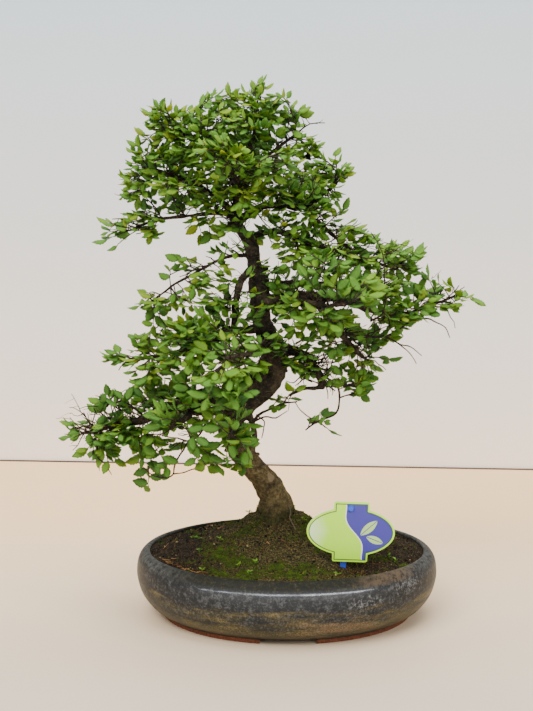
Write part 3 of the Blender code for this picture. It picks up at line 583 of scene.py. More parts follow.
def mossy(x, y):
    """How much moss grows at a place, from 0 to 1."""
    cover = 0
    for centre_x, centre_y, width, depth in MOSS_PATCHES:
        cover = max(cover, 1.2 - ((x - centre_x) / width) ** 2 - ((y - centre_y) / depth) ** 2)
    cover += 1.3 * roughened(x, y, 15, 3) + 1.3 * roughened(x, y, 4.5, 4) - 0.4
    cover -= hill(x, y, 1.6, LABEL_DIP_PLACE, BARE_AT_LABEL)
    return min(1, max(0, cover))


def hill(x, y, height, place, spread):
    """How high a round hill of this height stands at x, y."""
    return height * exp(-(((x - place[0]) / spread[0]) ** 2) - ((y - place[1]) / spread[1]) ** 2)


def soil_height(x, y):
    """Height of the soil's surface, without its crumbs."""
    inward = 1 - hypot(x, y / POT_DEPTH_RATIO) / SOIL_RIM
    mound = hill(x, y, SOIL_MOUND, TRUNK_FOOT, SOIL_MOUND_SPREAD)
    mound += hill(x, y, SOIL_HUMP, TRUNK_FOOT, SOIL_HUMP_SPREAD)
    lumps = 2.2 * roughened(x, y, 22) + 1.2 * roughened(x, y, 9, 1)
    dip = hill(x, y, LABEL_DIP, LABEL_DIP_PLACE, LABEL_DIP_SPREAD)
    clumps = sum(hill(x, y, *clump) for clump in SOIL_CLUMPS)
    return SOIL_EDGE_HEIGHT + (mound + lumps + clumps - dip) * min(1, max(0, inward) * 6)


def soil_surface(x, y):
    """The same with crumbs, and with the moss standing up."""
    crumbs = 1 - abs(roughened(x, y, 3.2, 2)) * 2
    return soil_height(x, y) + crumbs * 0.9 * (1 - 0.6 * mossy(x, y)) + 1.3 * mossy(x, y)


def oval_ring(half_width):
    angles = [tau * step / SOIL_STEPS for step in range(SOIL_STEPS)]
    return [(half_width * cos(a), half_width * sin(a) * POT_DEPTH_RATIO) for a in angles]


def soil_solid():
    points = [(0, 0, soil_surface(0, 0))]
    for ring in range(1, SOIL_RINGS + 1):
        points += [(x, y, soil_surface(x, y)) for x, y in oval_ring(SOIL_RIM * ring / SOIL_RINGS)]
    moss = [mossy(x, y) for x, y, _ in points]
    for half_width, height in SOIL_UNDERSIDE:
        points += [(x, y, height) for x, y in oval_ring(half_width)]
    points.append((0, 0, SOIL_UNDERSIDE[-1][1]))
    faces = []
    for step in range(SOIL_STEPS):
        after = (step + 1) % SOIL_STEPS
        faces.append((0, 1 + step, 1 + after))
        for ring in range(SOIL_RINGS + 2):
            near, far = 1 + ring * SOIL_STEPS, 1 + (ring + 1) * SOIL_STEPS
            faces.append((near + step, far + step, far + after, near + after))
        last = 1 + (SOIL_RINGS + 2) * SOIL_STEPS
        faces.append((last + after, last + step, len(points) - 1))
    moss += [0] * (len(points) - len(moss))
    return mesh_from("soil_mound", np.array(points) * MM, faces, {"moss": moss})


soil_mesh = soil_solid()
print("The soil has", len(soil_mesh.polygons), "faces.")

# %% [markdown]
# Wet peat is nearly black, with red-brown fibre and tan grains. Moss is noted for every point of
# the mesh, so its green starts exactly where the tufts will stand.

# %% Finish the soil
peat = Finish("peat_and_moss", Roughness=0.95, Specular_IOR_Level=0.15)
soil_x, soil_y, _ = [axis / MM for axis in peat.split(peat.place())]
crumb = peat.clouds(1.7 * MM, 7, roughness=0.8)
fibre = peat.clouds(9 * MM)
grains = peat.cells(3.4 * MM)
wet = peat.ramp(
    crumb, (0.40, (0.0005, 0.0004, 0.0003)), (0.53, (0.010, 0.006, 0.0022)), (0.64, (0.13, 0.075, 0.024))
)
dusty = peat.ramp(
    crumb, (0.37, (0.003, 0.0025, 0.001)), (0.51, (0.038, 0.031, 0.008)), (0.62, (0.20, 0.155, 0.052))
)
on_mound = abs(soil_x + 4).fade(88, 42) * (fibre * 0.8 + 0.5)
dark = peat.blend(on_mound * 0.9, wet, dusty)
red = peat.blend(fibre.fade(0.5, 0.8) * 0.4, dark, (0.065, 0.026, 0.008))
grain_mask = grains.fade(0.16, 0.08) * peat.clouds(14 * MM, 2).fade(0.5, 0.62)
grainy = peat.blend(grain_mask * 0.8, red, (0.30, 0.22, 0.13))
green = peat.ramp(
    crumb, (0.36, (0.004, 0.005, 0.001)), (0.5, (0.030, 0.042, 0.003)), (0.64, (0.105, 0.125, 0.010))
)
moss_mask = (peat.note("moss") + (crumb - 0.5) * 0.7).fade(0.25, 0.8)
peat.feed("Base Color", peat.blend(moss_mask * 0.85, grainy, green))
peat.relief(crumb + grains * 0.4, 1.4 * MM, 0.9)
add_piece("soil_mound", soil_mesh, peat, ["soil"])
print("The soil is finished.")

# %% [markdown]
# ## Crumbs, moss and litter
# A smooth-looking skin gives soil away. Loose crumbs are small twelve-cornered stones, each pushed
# out of shape. Moss is thousands of tiny tapering spikes. Bark strips and fine roots lie across
# both. One generator with a fixed seed scatters them, so that each run gives the same ground.

# %% Scatter helpers
TRUNK_CLEARANCE = 18
CRUMBS = 3000
MOSS_SPIKES = 13000
STRIPS = 70
FIBRES = 60


def spot_on_soil(draw, reach=0.985):
    """A drawn place on the soil, clear of the trunk's foot."""
    while True:
        angle = draw.uniform(0, tau)
        out = sqrt(draw.random()) * SOIL_RIM * reach
        x, y = out * cos(angle), out * sin(angle) * POT_DEPTH_RATIO
        if hypot(x - TRUNK_FOOT[0], y - TRUNK_FOOT[1]) > TRUNK_CLEARANCE:
            return x, y


def stone():
    work = bmesh.new()
    bmesh.ops.create_icosphere(work, subdivisions=1, radius=1)
    points = np.array([vertex.co for vertex in work.verts])
    faces = [tuple(vertex.index for vertex in face.verts) for face in work.faces]
    work.free()
    return points, faces


def turning(draw):
    """A drawn rotation as a 3 by 3 array."""
    angles = [draw.uniform(0, tau) for _ in range(3)]
    x, y, z = [Matrix.Rotation(angle, 3, axis) for angle, axis in zip(angles, "XYZ")]
    return np.array(x @ y @ z)


stone_points, stone_faces = stone()
print("One crumb has", len(stone_faces), "faces.")

# %% Loose crumbs
draw = random.Random(11)
crumb_solids = []
crumb_tones = []
for _ in range(CRUMBS):
    x, y = spot_on_soil(draw)
    if mossy(x, y) > 0.75:
        continue
    size = 0.4 + 1.4 * draw.random() ** 5
    squash = np.array([draw.uniform(0.6, 1.2), draw.uniform(0.6, 1.2), draw.uniform(0.4, 0.9)]) * size
    shaken = stone_points * np.array([[draw.uniform(0.8, 1.15)] for _ in stone_points])
    middle = np.array((x, y, soil_surface(x, y) + size * 0.15))
    crumb_solids.append((shaken * squash @ turning(draw) + middle, stone_faces))
    crumb_tones += [draw.random()] * len(stone_points)
grit = Finish("crumbs", Roughness=0.92, Specular_IOR_Level=0.15)
crumb_grain = grit.clouds(0.9 * MM)
tone = grit.note("tone") + (crumb_grain - 0.5) * 0.3
grit.feed("Base Color", grit.ramp(
    tone, (0.35, (0.002, 0.0015, 0.001)), (0.7, (0.022, 0.013, 0.005)), (0.9, (0.10, 0.058, 0.020)),
    (1.0, (0.36, 0.26, 0.12)),
))
grit.relief(crumb_grain, 0.3 * MM)
add_solids("soil_crumbs", crumb_solids, grit, crumb_tones)
print("Crumbs:", len(crumb_solids))

# %% Moss
def spike_mesh(draw, points):
    """Spikes of three foot points and a top each, with how light each point is."""
    faces = []
    tones = []
    for start in range(0, len(points), 4):
        one, two, three, top = range(start, start + 4)
        faces += [(one, two, top), (two, three, top), (three, one, top), (three, two, one)]
        tones += [draw.random() * 0.5] * 3 + [0.75 + draw.random() * 0.25]
    return mesh_from("moss", np.array(points) * MM, faces, {"tone": tones})


draw = random.Random(12)
spike_points = []
while len(spike_points) < MOSS_SPIKES * 4:
    x, y = spot_on_soil(draw)
    if draw.random() > mossy(x, y) * 1.3 - 0.15:
        continue
    foot = np.array((x, y, soil_surface(x, y) - 0.6))
    height = draw.uniform(1.1, 2.4)
    width = draw.uniform(0.3, 0.55)
    turn = draw.uniform(0, tau)
    for corner in range(3):
        angle = turn + corner * tau / 3
        spike_points.append(foot + width * np.array((cos(angle), sin(angle), 0)))
    spike_points.append(foot + (draw.uniform(-0.7, 0.7), draw.uniform(-0.7, 0.7), height))
moss_mesh = spike_mesh(draw, spike_points)
moss_green = Finish("moss", Roughness=0.85, Specular_IOR_Level=0.15)
moss_patch = moss_green.clouds(7 * MM, 4, roughness=0.7)
moss_tone = moss_green.note("tone") * 0.7 + (moss_patch - 0.5) * 1.6
moss_green.feed("Base Color", moss_green.ramp(
    moss_tone, (0.05, (0.020, 0.013, 0.004)), (0.4, (0.034, 0.052, 0.003)), (0.75, (0.075, 0.135, 0.006)),
    (1.0, (0.24, 0.33, 0.02)),
))
moss_green.relief(moss_green.clouds(0.7 * MM), 0.2 * MM)
add_piece("moss_tufts", moss_mesh, moss_green)
print("Moss spikes:", len(spike_points) // 4)

# %% Bark strips and root fibres
DRIFT_ANGLES = (3.5, 4.15)
DRIFT_RADIUS = 130
draw = random.Random(13)
litter = []
litter_tones = []
for index in range(STRIPS + FIBRES):
    x, y = spot_on_soil(draw, 0.95)
    heading = draw.uniform(0, tau)
    if index < STRIPS // 2:
        angle = draw.uniform(*DRIFT_ANGLES)
        x, y = DRIFT_RADIUS * cos(angle), DRIFT_RADIUS * sin(angle) * POT_DEPTH_RATIO
        heading = angle + pi / 2 + draw.gauss(0, 0.25)
    thin = index >= STRIPS
    length = draw.uniform(7, 16) if thin else draw.uniform(4, 10)
    radius = draw.uniform(0.12, 0.22) if thin else draw.uniform(0.3, 0.65)
    rows = []
    for step in range(5):
        rows.append((x, y, soil_surface(x, y) + 0.5 + draw.uniform(0, 0.9), radius * (1 - 0.1 * step)))
        heading += draw.uniform(-0.5, 0.5)
        x += length / 4 * cos(heading)
        y += length / 4 * sin(heading)
        if hypot(x, y / POT_DEPTH_RATIO) > SOIL_RIM * 0.97:
            break
    if len(rows) < 3:
        continue
    litter.append(swept(through(rows, 2), 5))
    litter_tones += [draw.random()] * len(litter[-1][0])
dry_bits = Finish("dry_bark_and_roots", Roughness=0.85, Specular_IOR_Level=0.15)
litter_grain = dry_bits.clouds(1.2 * MM)
dry_bits.feed("Base Color", dry_bits.ramp(
    dry_bits.note("tone") + (litter_grain - 0.5) * 0.4,
    (0.1, (0.035, 0.018, 0.008)), (0.55, (0.13, 0.060, 0.020)), (0.95, (0.33, 0.17, 0.065)),
))
dry_bits.relief(litter_grain, 0.3 * MM)
add_solids("soil_litter", litter, dry_bits, litter_tones)
print("Strips and fibres:", len(litter))

# %% [markdown]
# ## The wood
# The trunk leans left, bends back at a third of its height and runs up to a fine leader. Each limb
# is listed as points with a radius, from its root inside the trunk to its tip, like the solid's.
# The thick parts are swept as tubes and melted into one skin by a voxel remesh, which gives the
# soft crotches that grown wood has. Parts too thin for the voxels stay tubes that start inside it.
# Twigs that are too fine for the solids are listed apart: round the low limbs, on the trunk and at
# the right bough's end. Short pegs all over the upper trunk are what pruning left of others.

# %% Limbs
LIMBS = {
    "trunk": (
        (-11, 14, 42, 14), (-11, 14, 100, 16.6), (-12, 11.5, 110, 14.8), (-17, 9, 122, 14),
        (-26, 6, 135, 12.4), (-38, 2.5, 150, 11.7), (-47, 0, 164, 12.1), (-54, -1, 178, 12.1),
        (-55, -2, 191, 12), (-45, 0, 209, 14.6), (-32, 2, 221, 15.7), (-19, 2, 235, 15.2),
        (-12, 0, 250, 13.4), (-14, -2, 267, 12), (-22, -3, 283, 9.9), (-26, -2, 297, 9.5),
        (-27, 0, 315, 10.2), (-28, 2, 332, 9.4), (-32, 3, 345, 7), (-35, 3, 365, 7),
        (-43, 2.5, 376, 5.6), (-50, 1, 387, 4.9), (-50, 0, 403, 4.4), (-39, 0, 440, 3.4),
        (-30, 0, 478, 2.4),
    ),
    "side_stem": (
        (-35, 0, 160, 3.9), (-32, -4, 177, 3.5), (-34, -5, 189, 3.7), (-41, -3, 204, 4.6),
    ),
    "left_low": (
        (-42, 0, 208, 10.5), (-64, -8, 217, 8.4), (-85, -14, 218, 7.2), (-104, -14, 212, 6.7),
        (-124, -10, 203, 5.8), (-144, -6, 193, 5.2), (-165, -2, 189, 4.4), (-183, 0, 184, 3.4),
        (-197, 0, 179, 2.5),
    ),
    "left_low_front": (
        (-77, -12, 217, 4.8), (-85, -34, 213, 4.2), (-95, -56, 205, 3.6), (-107, -72, 198, 2.6),
    ),
    "left_low_back": ((-50, 4, 195, 6.2), (-71, 26, 197, 5), (-99, 46, 192, 4.1), (-129, 56, 195, 3)),
    "front_low": ((-48, -4, 204, 6.5), (-45, -36, 205, 5.1), (-47, -60, 199, 4), (-55, -84, 190, 2.6)),
    "left_mid": (
        (-34, -2, 341, 4.6), (-45, -11, 330, 4.2), (-50, -14, 308, 3.9), (-50, -15, 292, 3.7),
        (-60, -17, 277, 3.5), (-78, -18, 270, 3.2), (-100, -16, 264, 2.9), (-124, -9, 258, 2.5),
        (-150, -3, 253, 2),
    ),
    "left_thin": (
        (-36, 2, 355, 2.8), (-61, -2, 352, 2.2), (-86, -4, 339, 1.9), (-110, -4, 326, 1.6),
        (-132, -2, 310, 1.3),
    ),
    "left_back": ((-20, 2, 287, 5.8), (-39, 28, 279, 4.6), (-64, 44, 276, 4.1), (-91, 52, 273, 3.1)),
    "front_mid": ((-15, -4, 261, 5.2), (-24, -34, 264, 4), (-37, -58, 264, 3.3), (-57, -76, 263, 2.5)),
    "right_main": (
        (-24, -1, 308, 8.2), (-3, -6, 312, 6.6), (12, -10, 315, 6.1), (29, -13, 315, 5.6),
        (47, -13, 313, 5), (64, -11, 308, 4.4), (82, -8, 301, 3.9), (101, -5, 297, 3.3),
        (121, -2, 299, 2.7), (140, 0, 306, 2.2), (159, 0, 313, 1.6),
    ),
    "right_front": ((5, -8, 313, 4.8), (15, -34, 312, 3.8), (31, -56, 310, 3.1), (52, -68, 311, 2.4)),
    "right_back": (
        (-26, 3, 322, 5.4), (-3, 28, 325, 4.6), (24, 44, 325, 4.1), (55, 52, 321, 3.5),
        (86, 54, 319, 2.7),
    ),
    "right_drop": (
        (26, -12, 315, 5), (39, -9, 296, 4.6), (51, -5, 280, 4.2), (64, 0, 265, 3.6), (78, 4, 252, 2.6),
    ),
    "right_low": (
        (-8, 0, 264, 6.6), (13, 0, 259, 5), (25, -2, 248, 4.5), (32, -3, 237, 4.4), (35, -4, 226, 3.8),
    ),
    "right_top": (
        (-35, 4, 371, 5.2), (-20, 0, 377, 4.1), (-4, -5, 376, 3.7), (14, -9, 368, 3.5),
        (35, -10, 362, 3.2), (58, -8, 356, 2.9), (84, -4, 348, 2.3), (105, -2, 342, 1.8),
    ),
    "crown_right": (
        (-48, 0, 387, 4.7), (-26, -5, 400, 4.1), (-6, -9, 402, 3.8), (15, -9, 401, 3.4), (47, 0, 423, 2),
    ),
    "crown_right_low": ((13, -9, 401, 3), (30, -6, 386, 2.7), (45, 0, 373, 2.4), (62, 8, 360, 1.9)),
    "crown_left": (
        (-50, 0, 394, 4.4), (-62, -5, 404, 3.8), (-76, -8, 415, 3.4), (-104, -5, 428, 2.8),
        (-132, 0, 438, 1.9),
    ),
    "crown_left_low": (
        (-49, 3, 389, 4), (-63, 8, 395, 3.2), (-88, 6, 393, 2.8), (-122, 3, 389, 2.2),
        (-154, 0, 378, 1.4),
    ),
    "crown_up_left": ((-48, 0, 412, 3.8), (-59, -4, 438, 3.2), (-82, -3, 458, 2.7), (-113, 2, 480, 1.8)),
    "crown_front": ((-50, -2, 404, 3.8), (-45, -28, 418, 2.9), (-50, -48, 429, 2.1)),
    "crown_back": ((-49, 1, 408, 3.8), (-38, 28, 426, 3), (-33, 50, 441, 2.2)),
    "crown_up_right": ((-42, 0, 430, 3.4), (-24, 2, 446, 2.7), (6, 4, 468, 1.8)),
    "hanging": (
        (34, -2, 238, 1.9), (45, -1, 231, 1.6), (51, 0, 223, 1.5), (52, 1, 210, 1.4), (49, 1, 199, 1.3),
        (40, 0, 194, 1.25), (30, -1, 191, 1.2), (18, -4, 183, 1),
    ),
    "low_right_thin": (
        (-34, -5, 190, 2.5), (-27, -6, 199, 1.8), (-17, -7, 204, 1.6), (-4, -8, 210, 1.3), (10, -8, 212, 1),
    ),
}
FINE_TWIGS = {
    "right_low_stub": (
        (34, -4, 228, 3.6), (28, -5, 225, 2.9), (20, -7, 225, 2.4), (12, -9, 223, 2.1),
        (2, -10, 219, 1.7),
    ),
    "right_low_fork": ((30, -3, 240, 1.7), (39, -3, 229, 1.3), (47, -3, 222, 0.9)),
    "right_low_spur": ((31, -3, 243, 1.4), (36, -8, 233, 1.1), (39, -10, 224, 0.8), (40, -9, 215, 0.6)),
    "right_low_back": ((24, -3, 231, 1.3), (13, -8, 236, 1.0), (6, -10, 231, 0.8), (-1, -12, 233, 0.6)),
    "right_low_web": ((29, -3, 252, 1.5), (22, -9, 243, 1.1), (17, -11, 236, 0.9), (8, -12, 228, 0.6)),
    "hanging_side": ((30, -1, 191, 1.1), (21, -2, 196, 0.9), (13, -3, 203, 0.8), (8, -5, 211, 0.6)),
    "low_right_second": ((-32, -6, 192, 1.5), (-22, -8, 197, 1.2), (-11, -8, 196, 1.0), (0, -8, 203, 0.7)),
    "right_end_line": (
        (51, -6, 280, 1.9), (65, -14, 278, 1.8), (82, -18, 277, 1.7), (98, -18, 278, 1.6),
        (109, -16, 285, 1.5), (121, -14, 292, 1.4), (135, -14, 294, 1.2), (144, -14, 290, 1),
        (153, -14, 285, 0.8), (157, -14, 275, 0.6),
    ),
    "right_end_hook": (
        (88, -18, 277, 1.3), (98, -16, 275, 1.1), (109, -14, 269, 1), (120, -14, 266, 0.8),
        (130, -14, 258, 0.6),
    ),
    "right_end_web": (
        (98, -16, 275, 1.1), (107, -14, 270, 1), (112, -14, 266, 0.9), (119, -14, 260, 0.7),
        (125, -14, 250, 0.6),
    ),
    "right_riser": (
        (80, -20, 292, 1.5), (88, -38, 300, 1.3), (91, -44, 314, 1.1), (89, -46, 332, 1), (89, -46, 349, 0.9),
        (84, -45, 365, 0.7), (77, -44, 376, 0.6),
    ),
    "thin_line": ((6, -9, 221, 1.0), (2, -8, 215, 0.8), (2, -7, 209, 0.7), (1, -7, 203, 0.5)),
    "trunk_thorn": ((-30, -8, 199, 1.2), (-22, -13, 193, 0.9), (-23, -14, 185, 0.8), (-25, -15, 177, 0.6)),
    "low_line": (
        (-66, -11, 209, 1.8), (-78, -20, 194, 1.6), (-85, -22, 182, 1.5), (-97, -22, 173, 1.4),
        (-100, -22, 167, 1.3), (-107, -22, 157, 1.3), (-110, -22, 150, 1.2), (-111, -22, 142, 1.1),
        (-119, -22, 139, 1.1), (-131, -22, 142, 0.9), (-140, -22, 150, 0.7),
    ),
    "low_line_side": (
        (-110, -22, 143, 1.1), (-102, -22, 144, 1), (-94, -22, 147, 1), (-86, -22, 150, 0.8),
        (-82, -22, 155, 0.6),
    ),
    "low_end_line": (
        (-172, -4, 186, 1.5), (-183, -14, 175, 1.3), (-186, -14, 159, 1.1), (-179, -14, 152, 1),
        (-175, -14, 146, 0.9), (-172, -14, 140, 0.7),
    ),
    "low_end_web": (
        (-152, -5, 191, 1.9), (-166, -9, 186, 1.7), (-176, -10, 180, 1.5), (-187, -9, 186, 1.3),
        (-195, -8, 193, 1), (-199, -8, 201, 0.7),
    ),
    "low_end_fork": (
        (-140, -6, 197, 1.9), (-152, -10, 207, 1.6), (-163, -10, 204, 1.3), (-172, -9, 210, 1.1),
        (-179, -8, 205, 0.8),
    ),
}
print("Limbs:", len(LIMBS), "and finer twigs:", len(FINE_TWIGS))

# %% [markdown]
# Old wood isn't a smooth pipe. Each limb's line kinks where a bud once led it another way, and
# knobs sit where twigs were pruned. Noise that depends on the place alone does both, so that two
# limbs which meet are moved alike. Twigs also get finer than their solids, which can't be too thin.

# %% Gnarl the limbs
LIMB_STEP = 4
KINK_SIZE = 9
KNOB_SIZE = 6
FINEST_SHARE = 0.58


def gnarled(rows):
    result = rows.copy()
    for row in result:
        spot = Vector(row[:3])
        radius = row[3]
        slimness = 1 - min(1, radius / 12)
        row[:3] += np.array(noise.noise_vector(spot / KINK_SIZE)) * min(1.8, 0.6 + 0.22 * radius) * slimness
        knob = 1 + 0.3 * noise.noise(spot / KNOB_SIZE) * (0.3 + 0.7 * slimness)
        row[3] = radius * (FINEST_SHARE + (1 - FINEST_SHARE) * min(1, radius / 6)) * knob
    return result


grown_limbs = {name: gnarled(through(limb, LIMB_STEP)) for name, limb in {**LIMBS, **FINE_TWIGS}.items()}
print("The finest twig end is", round(min(rows[-1][3] for rows in grown_limbs.values()), 2), "mm in radius.")

# %% Melt the thick wood into one skin
VOXEL = 1.4
THINNEST_MELTED = 1.9
STUBS = 34
PRUNED_HEIGHTS = (150, 400)


def thick_and_thin(rows):
    """The rows of a limb up to where it gets too thin to melt, and the rest with two rows of overlap."""
    thin = np.nonzero(rows[:, 3] < THINNEST_MELTED)[0]
    first_thin = int(thin[0]) if len(thin) else len(rows)
    return rows[:first_thin], rows[max(0, first_thin - 2):]


def rounded_end(rows):
    """The rows with a rounded tip added, as on an old cut that healed over."""
    way = (rows[-1] - rows[-2])[:3]
    way = way / np.linalg.norm(way) * rows[-1][3]
    tips = [(*(rows[-1][:3] + way * out), rows[-1][3] * share) for out, share in ((0.5, 0.86), (0.85, 0.5))]
    return np.vstack([rows, tips])


def stub(draw, rows):
    """What is left of a pruned twig: a short peg out of the trunk."""
    x, y, z, radius = rows[draw.randrange(len(rows))]
    turn = draw.uniform(0, tau)
    way = np.array((cos(turn), sin(turn), draw.uniform(-0.2, 0.7)))
    start = np.array((x, y, z)) + way * radius * 0.5
    end = np.array((x, y, z)) + way * (radius + draw.uniform(1.5, 4.5))
    rows = [(*start, draw.uniform(2.2, 3.6)), (*((start + end) / 2), 2.6), (*end, draw.uniform(2, 2.6))]
    return np.array(rows)


melted_tubes = []
thin_limbs = []
for name, rows in grown_limbs.items():
    thick_rows, thin_rows = thick_and_thin(rows)
    if len(thick_rows) > 1:
        thick_rows = rounded_end(thick_rows)
        melted_tubes.append(swept(thick_rows, 24 if name == "trunk" else 14))
    if len(thin_rows) > 2:
        thin_limbs.append(thin_rows)
draw = random.Random(16)
pruned = [row for row in grown_limbs["trunk"] if PRUNED_HEIGHTS[0] < row[2] < PRUNED_HEIGHTS[1]]
melted_tubes += [swept(rounded_end(stub(draw, pruned)), 10) for _ in range(STUBS)]
melted = mesh_from("wood", *joined(melted_tubes))
melted = applied(melted, [
    ("REMESH", {"mode": "VOXEL", "voxel_size": VOXEL}),
    ("SMOOTH", {"factor": 0.5, "iterations": 3}),
])
print("The melted wood has", len(melted.polygons), "faces.")

# %% [markdown]
# Bark is never smooth. Points of the skin move out and in by noise: broad lumps where old cuts
# healed, ribs that run up the trunk, and small pimples. The amount follows the limb's own radius,
# so that twigs keep their size. At the foot the ribs grow into roots that spread into the soil.
# One old cut at the front left a pale oval scar with a raised rim.

# %% Give the bark its relief
SCAR = Vector((-16, -7, 136))
FOOT_FLARE = 4
ROOT_FLARE = 3.2
limb_rows = [tuple(row) for rows in grown_limbs.values() for row in rows]
limb_tree = tree_of([row[:3] for row in limb_rows])


def barked(place, normal):
    """Where a point of the skin goes, and how scarred it is."""
    near, index, _ = limb_tree.find(place)
    radius = limb_rows[index][3]
    size = min(1, radius / 14)
    angle = atan2(place.y - near.y, place.x - near.x)
    high = min(1, max(0, place.z - 150) / 40)
    lift = (0.7 + 0.6 * high) * noise.noise(place / 17) + 0.95 * noise.noise(place / 7)
    lift += 0.4 * noise.noise(Vector((place.x / 3, place.y / 3, place.z / 4.5)))
    lift += high * (1.6 * max(0, noise.noise(place / 10) - 0.25) + 1.3 * noise.noise(place / 5))
    lift *= 0.3 + 0.7 * size
    foot = exp(-max(0, place.z - 93) / 7) if radius > 12 else 0
    ribs = max(0, sin(3 * angle + 0.7) + 0.35 * sin(7 * angle))
    lift += foot * (FOOT_FLARE + ROOT_FLARE * ribs)
    scar_reach = hypot((place.x - SCAR.x) / 3.2, (place.z - SCAR.z) / 5.2)
    scar = 1 if place.y < 0 and scar_reach < 1.5 else 0
    if scar:
        lift += 0.9 * exp(-(((scar_reach - 1) / 0.22) ** 2)) - 0.7 * max(0, 1 - scar_reach)
        scar = max(0, min(1, (1.15 - scar_reach) * 4))
    return place + normal * lift, scar, foot


wood_places = []
wood_scars = []
wood_feet = []
for vertex in melted.vertices:
    place, scar, foot = barked(vertex.co.copy(), vertex.normal.copy())
    wood_places.append(place * MM)
    wood_scars.append(scar)
    wood_feet.append(foot)
wood_mesh = mesh_from(
    "wood", wood_places, [tuple(face.vertices) for face in melted.polygons],
    {"scar": wood_scars, "foot": wood_feet},
)
print("The skin of the wood has", len(wood_mesh.polygons), "faces.")

# %% [markdown]
# Moss climbs a little way up the foot of the trunk. Its spikes stand on drawn points of the skin,
# as they do on the soil.

# %% Moss on the trunk's foot
FOOT_SPIKES = 900
LEAST_FOOT = 0.3
FOOTING_FLOOR = 84 * MM
draw = random.Random(17)
footing = []
for index, (place, foot) in enumerate(zip(wood_places, wood_feet)):
    if foot > LEAST_FOOT and place.z > FOOTING_FLOOR:
        footing.append(index)
spike_points = []
for index in draw.choices(footing, k=FOOT_SPIKES):
    out = melted.vertices[index].normal
    across = out.orthogonal().normalized()
    width = draw.uniform(0.35, 0.6)
    around = [across, out.cross(across), -across - out.cross(across)]
    skin = wood_places[index] / MM
    spike_points += [skin + side * width - out * 0.3 for side in around]
    spike_points.append(skin + out * draw.uniform(0.8, 1.9) + Vector((0, 0, draw.random())))
add_piece("moss_on_trunk", spike_mesh(draw, spike_points), moss_green)
print("Spikes on the trunk:", FOOT_SPIKES)

# %% [markdown]
# Zelkova bark is smooth grey-brown, crossed by short pale rows of pores, with green algae low on
# the trunk. Higher limbs are darker. Noise that is squashed in height gives the rows, and the
# height on the tree picks the tone.

# %% Finish the bark
bark = Finish("zelkova_bark", Specular_IOR_Level=0.12)
_, _, bark_height = bark.split(bark.place())
patch = bark.clouds(15 * MM, 6, roughness=0.6)
fine = bark.clouds(3 * MM, 6, roughness=0.7)
pores = bark.clouds(3.0 * MM, 3, bark.stretch(bark.place(), (0.6, 0.6, 2.4))).fade(0.6, 0.7)
old = bark.ramp(
    patch * 0.45 + fine * 0.55, (0.36, (0.010, 0.008, 0.003)), (0.46, (0.056, 0.040, 0.016)),
    (0.55, (0.140, 0.098, 0.040)), (0.66, (0.30, 0.215, 0.10)),
)
young = bark.ramp(
    patch * 0.45 + fine * 0.55, (0.36, (0.004, 0.003, 0.002)), (0.5, (0.026, 0.020, 0.011)),
    (0.66, (0.115, 0.085, 0.048)),
)
toned = bark.blend((bark_height + (patch - 0.5) * 0.09).fade(150 * MM, 190 * MM), old, young)
algae = (patch - 0.35).fade(0, 0.3) * bark_height.fade(150 * MM, 95 * MM)
mossy_bark = bark.blend(algae * 0.3, toned, (0.075, 0.078, 0.022))
pored = bark.blend(pores * 0.35, mossy_bark, (0.24, 0.18, 0.11))
mossy_foot = bark.blend(fine.fade(0.35, 0.65), (0.008, 0.007, 0.003), (0.048, 0.046, 0.010))
earthed = bark.blend((bark.note("foot") + (patch - 0.5) * 0.8).fade(0.1, 0.75) * 0.85, pored, mossy_foot)
scar = (bark.note("scar") + (fine - 0.5) * 0.8).fade(0.25, 0.8)
bark.feed("Base Color", bark.blend(scar * 0.7, earthed, (0.26, 0.185, 0.10)))
bark.feed("Roughness", fine * 0.3 + 0.68)
bark.relief(fine * 0.8 + patch * 0.6 + pores * 0.25, 1.6 * MM, 1.0)
add_piece("trunk_and_boughs", wood_mesh, bark, ["trunk_and_limbs"])
print("The bark has", len(bark.tree.nodes), "nodes.")

# %% [markdown]
# Inside the crown there are many fine dark twigs without leaves, which were shaded out. Each is a
# zigzag that leaves a limb and forks a few times. They fill the crown with lines behind the leaves.

# %% Thin limbs and bare twigs
BARE_TWIGS = 360
THICKEST_WITH_TWIGS = 7
TWIG_FLOOR = 232
LEFT_END = -60
LEFT_TWIG_FLOOR = 175
RIGHT_END = 88
RIGHT_TWIG_FLOOR = 300


def carries_twigs(row):
    """Whether bare twigs may stand here: not on the trunk or low down, and at the right only on top."""
    x, _, z, radius = row
    floor = LEFT_TWIG_FLOOR if x < LEFT_END else RIGHT_TWIG_FLOOR if x >= RIGHT_END else TWIG_FLOOR
    return radius < THICKEST_WITH_TWIGS and z > floor


def zigzag(draw, start, way, length, radius, steps=5):
    """Rows of a thin twig that changes its way a little at each bud."""
    rows = [(*start, radius)]
    place = Vector(start)
    for step in range(steps):
        way = (way + Vector(draw.uniform(-0.5, 0.5) for _ in range(3))).normalized()
        place = place + way * length / steps
        rows.append((*place, radius * (1 - 0.5 * (step + 1) / steps)))
    return np.array(rows)


def forked_twig(draw, start, way, length, radius):
    """A zigzag and its side twigs, each as rows."""
    main = zigzag(draw, start, way, length, radius)
    twigs = [main]
    for _ in range(draw.choice((1, 2, 3))):
        row = main[draw.randint(1, 4)]
        side = (way + Vector(draw.uniform(-1.1, 1.1) for _ in range(3))).normalized()
        twigs.append(zigzag(draw, row[:3], side, length * draw.uniform(0.3, 0.55), row[3] * 0.75, 4))
    return twigs


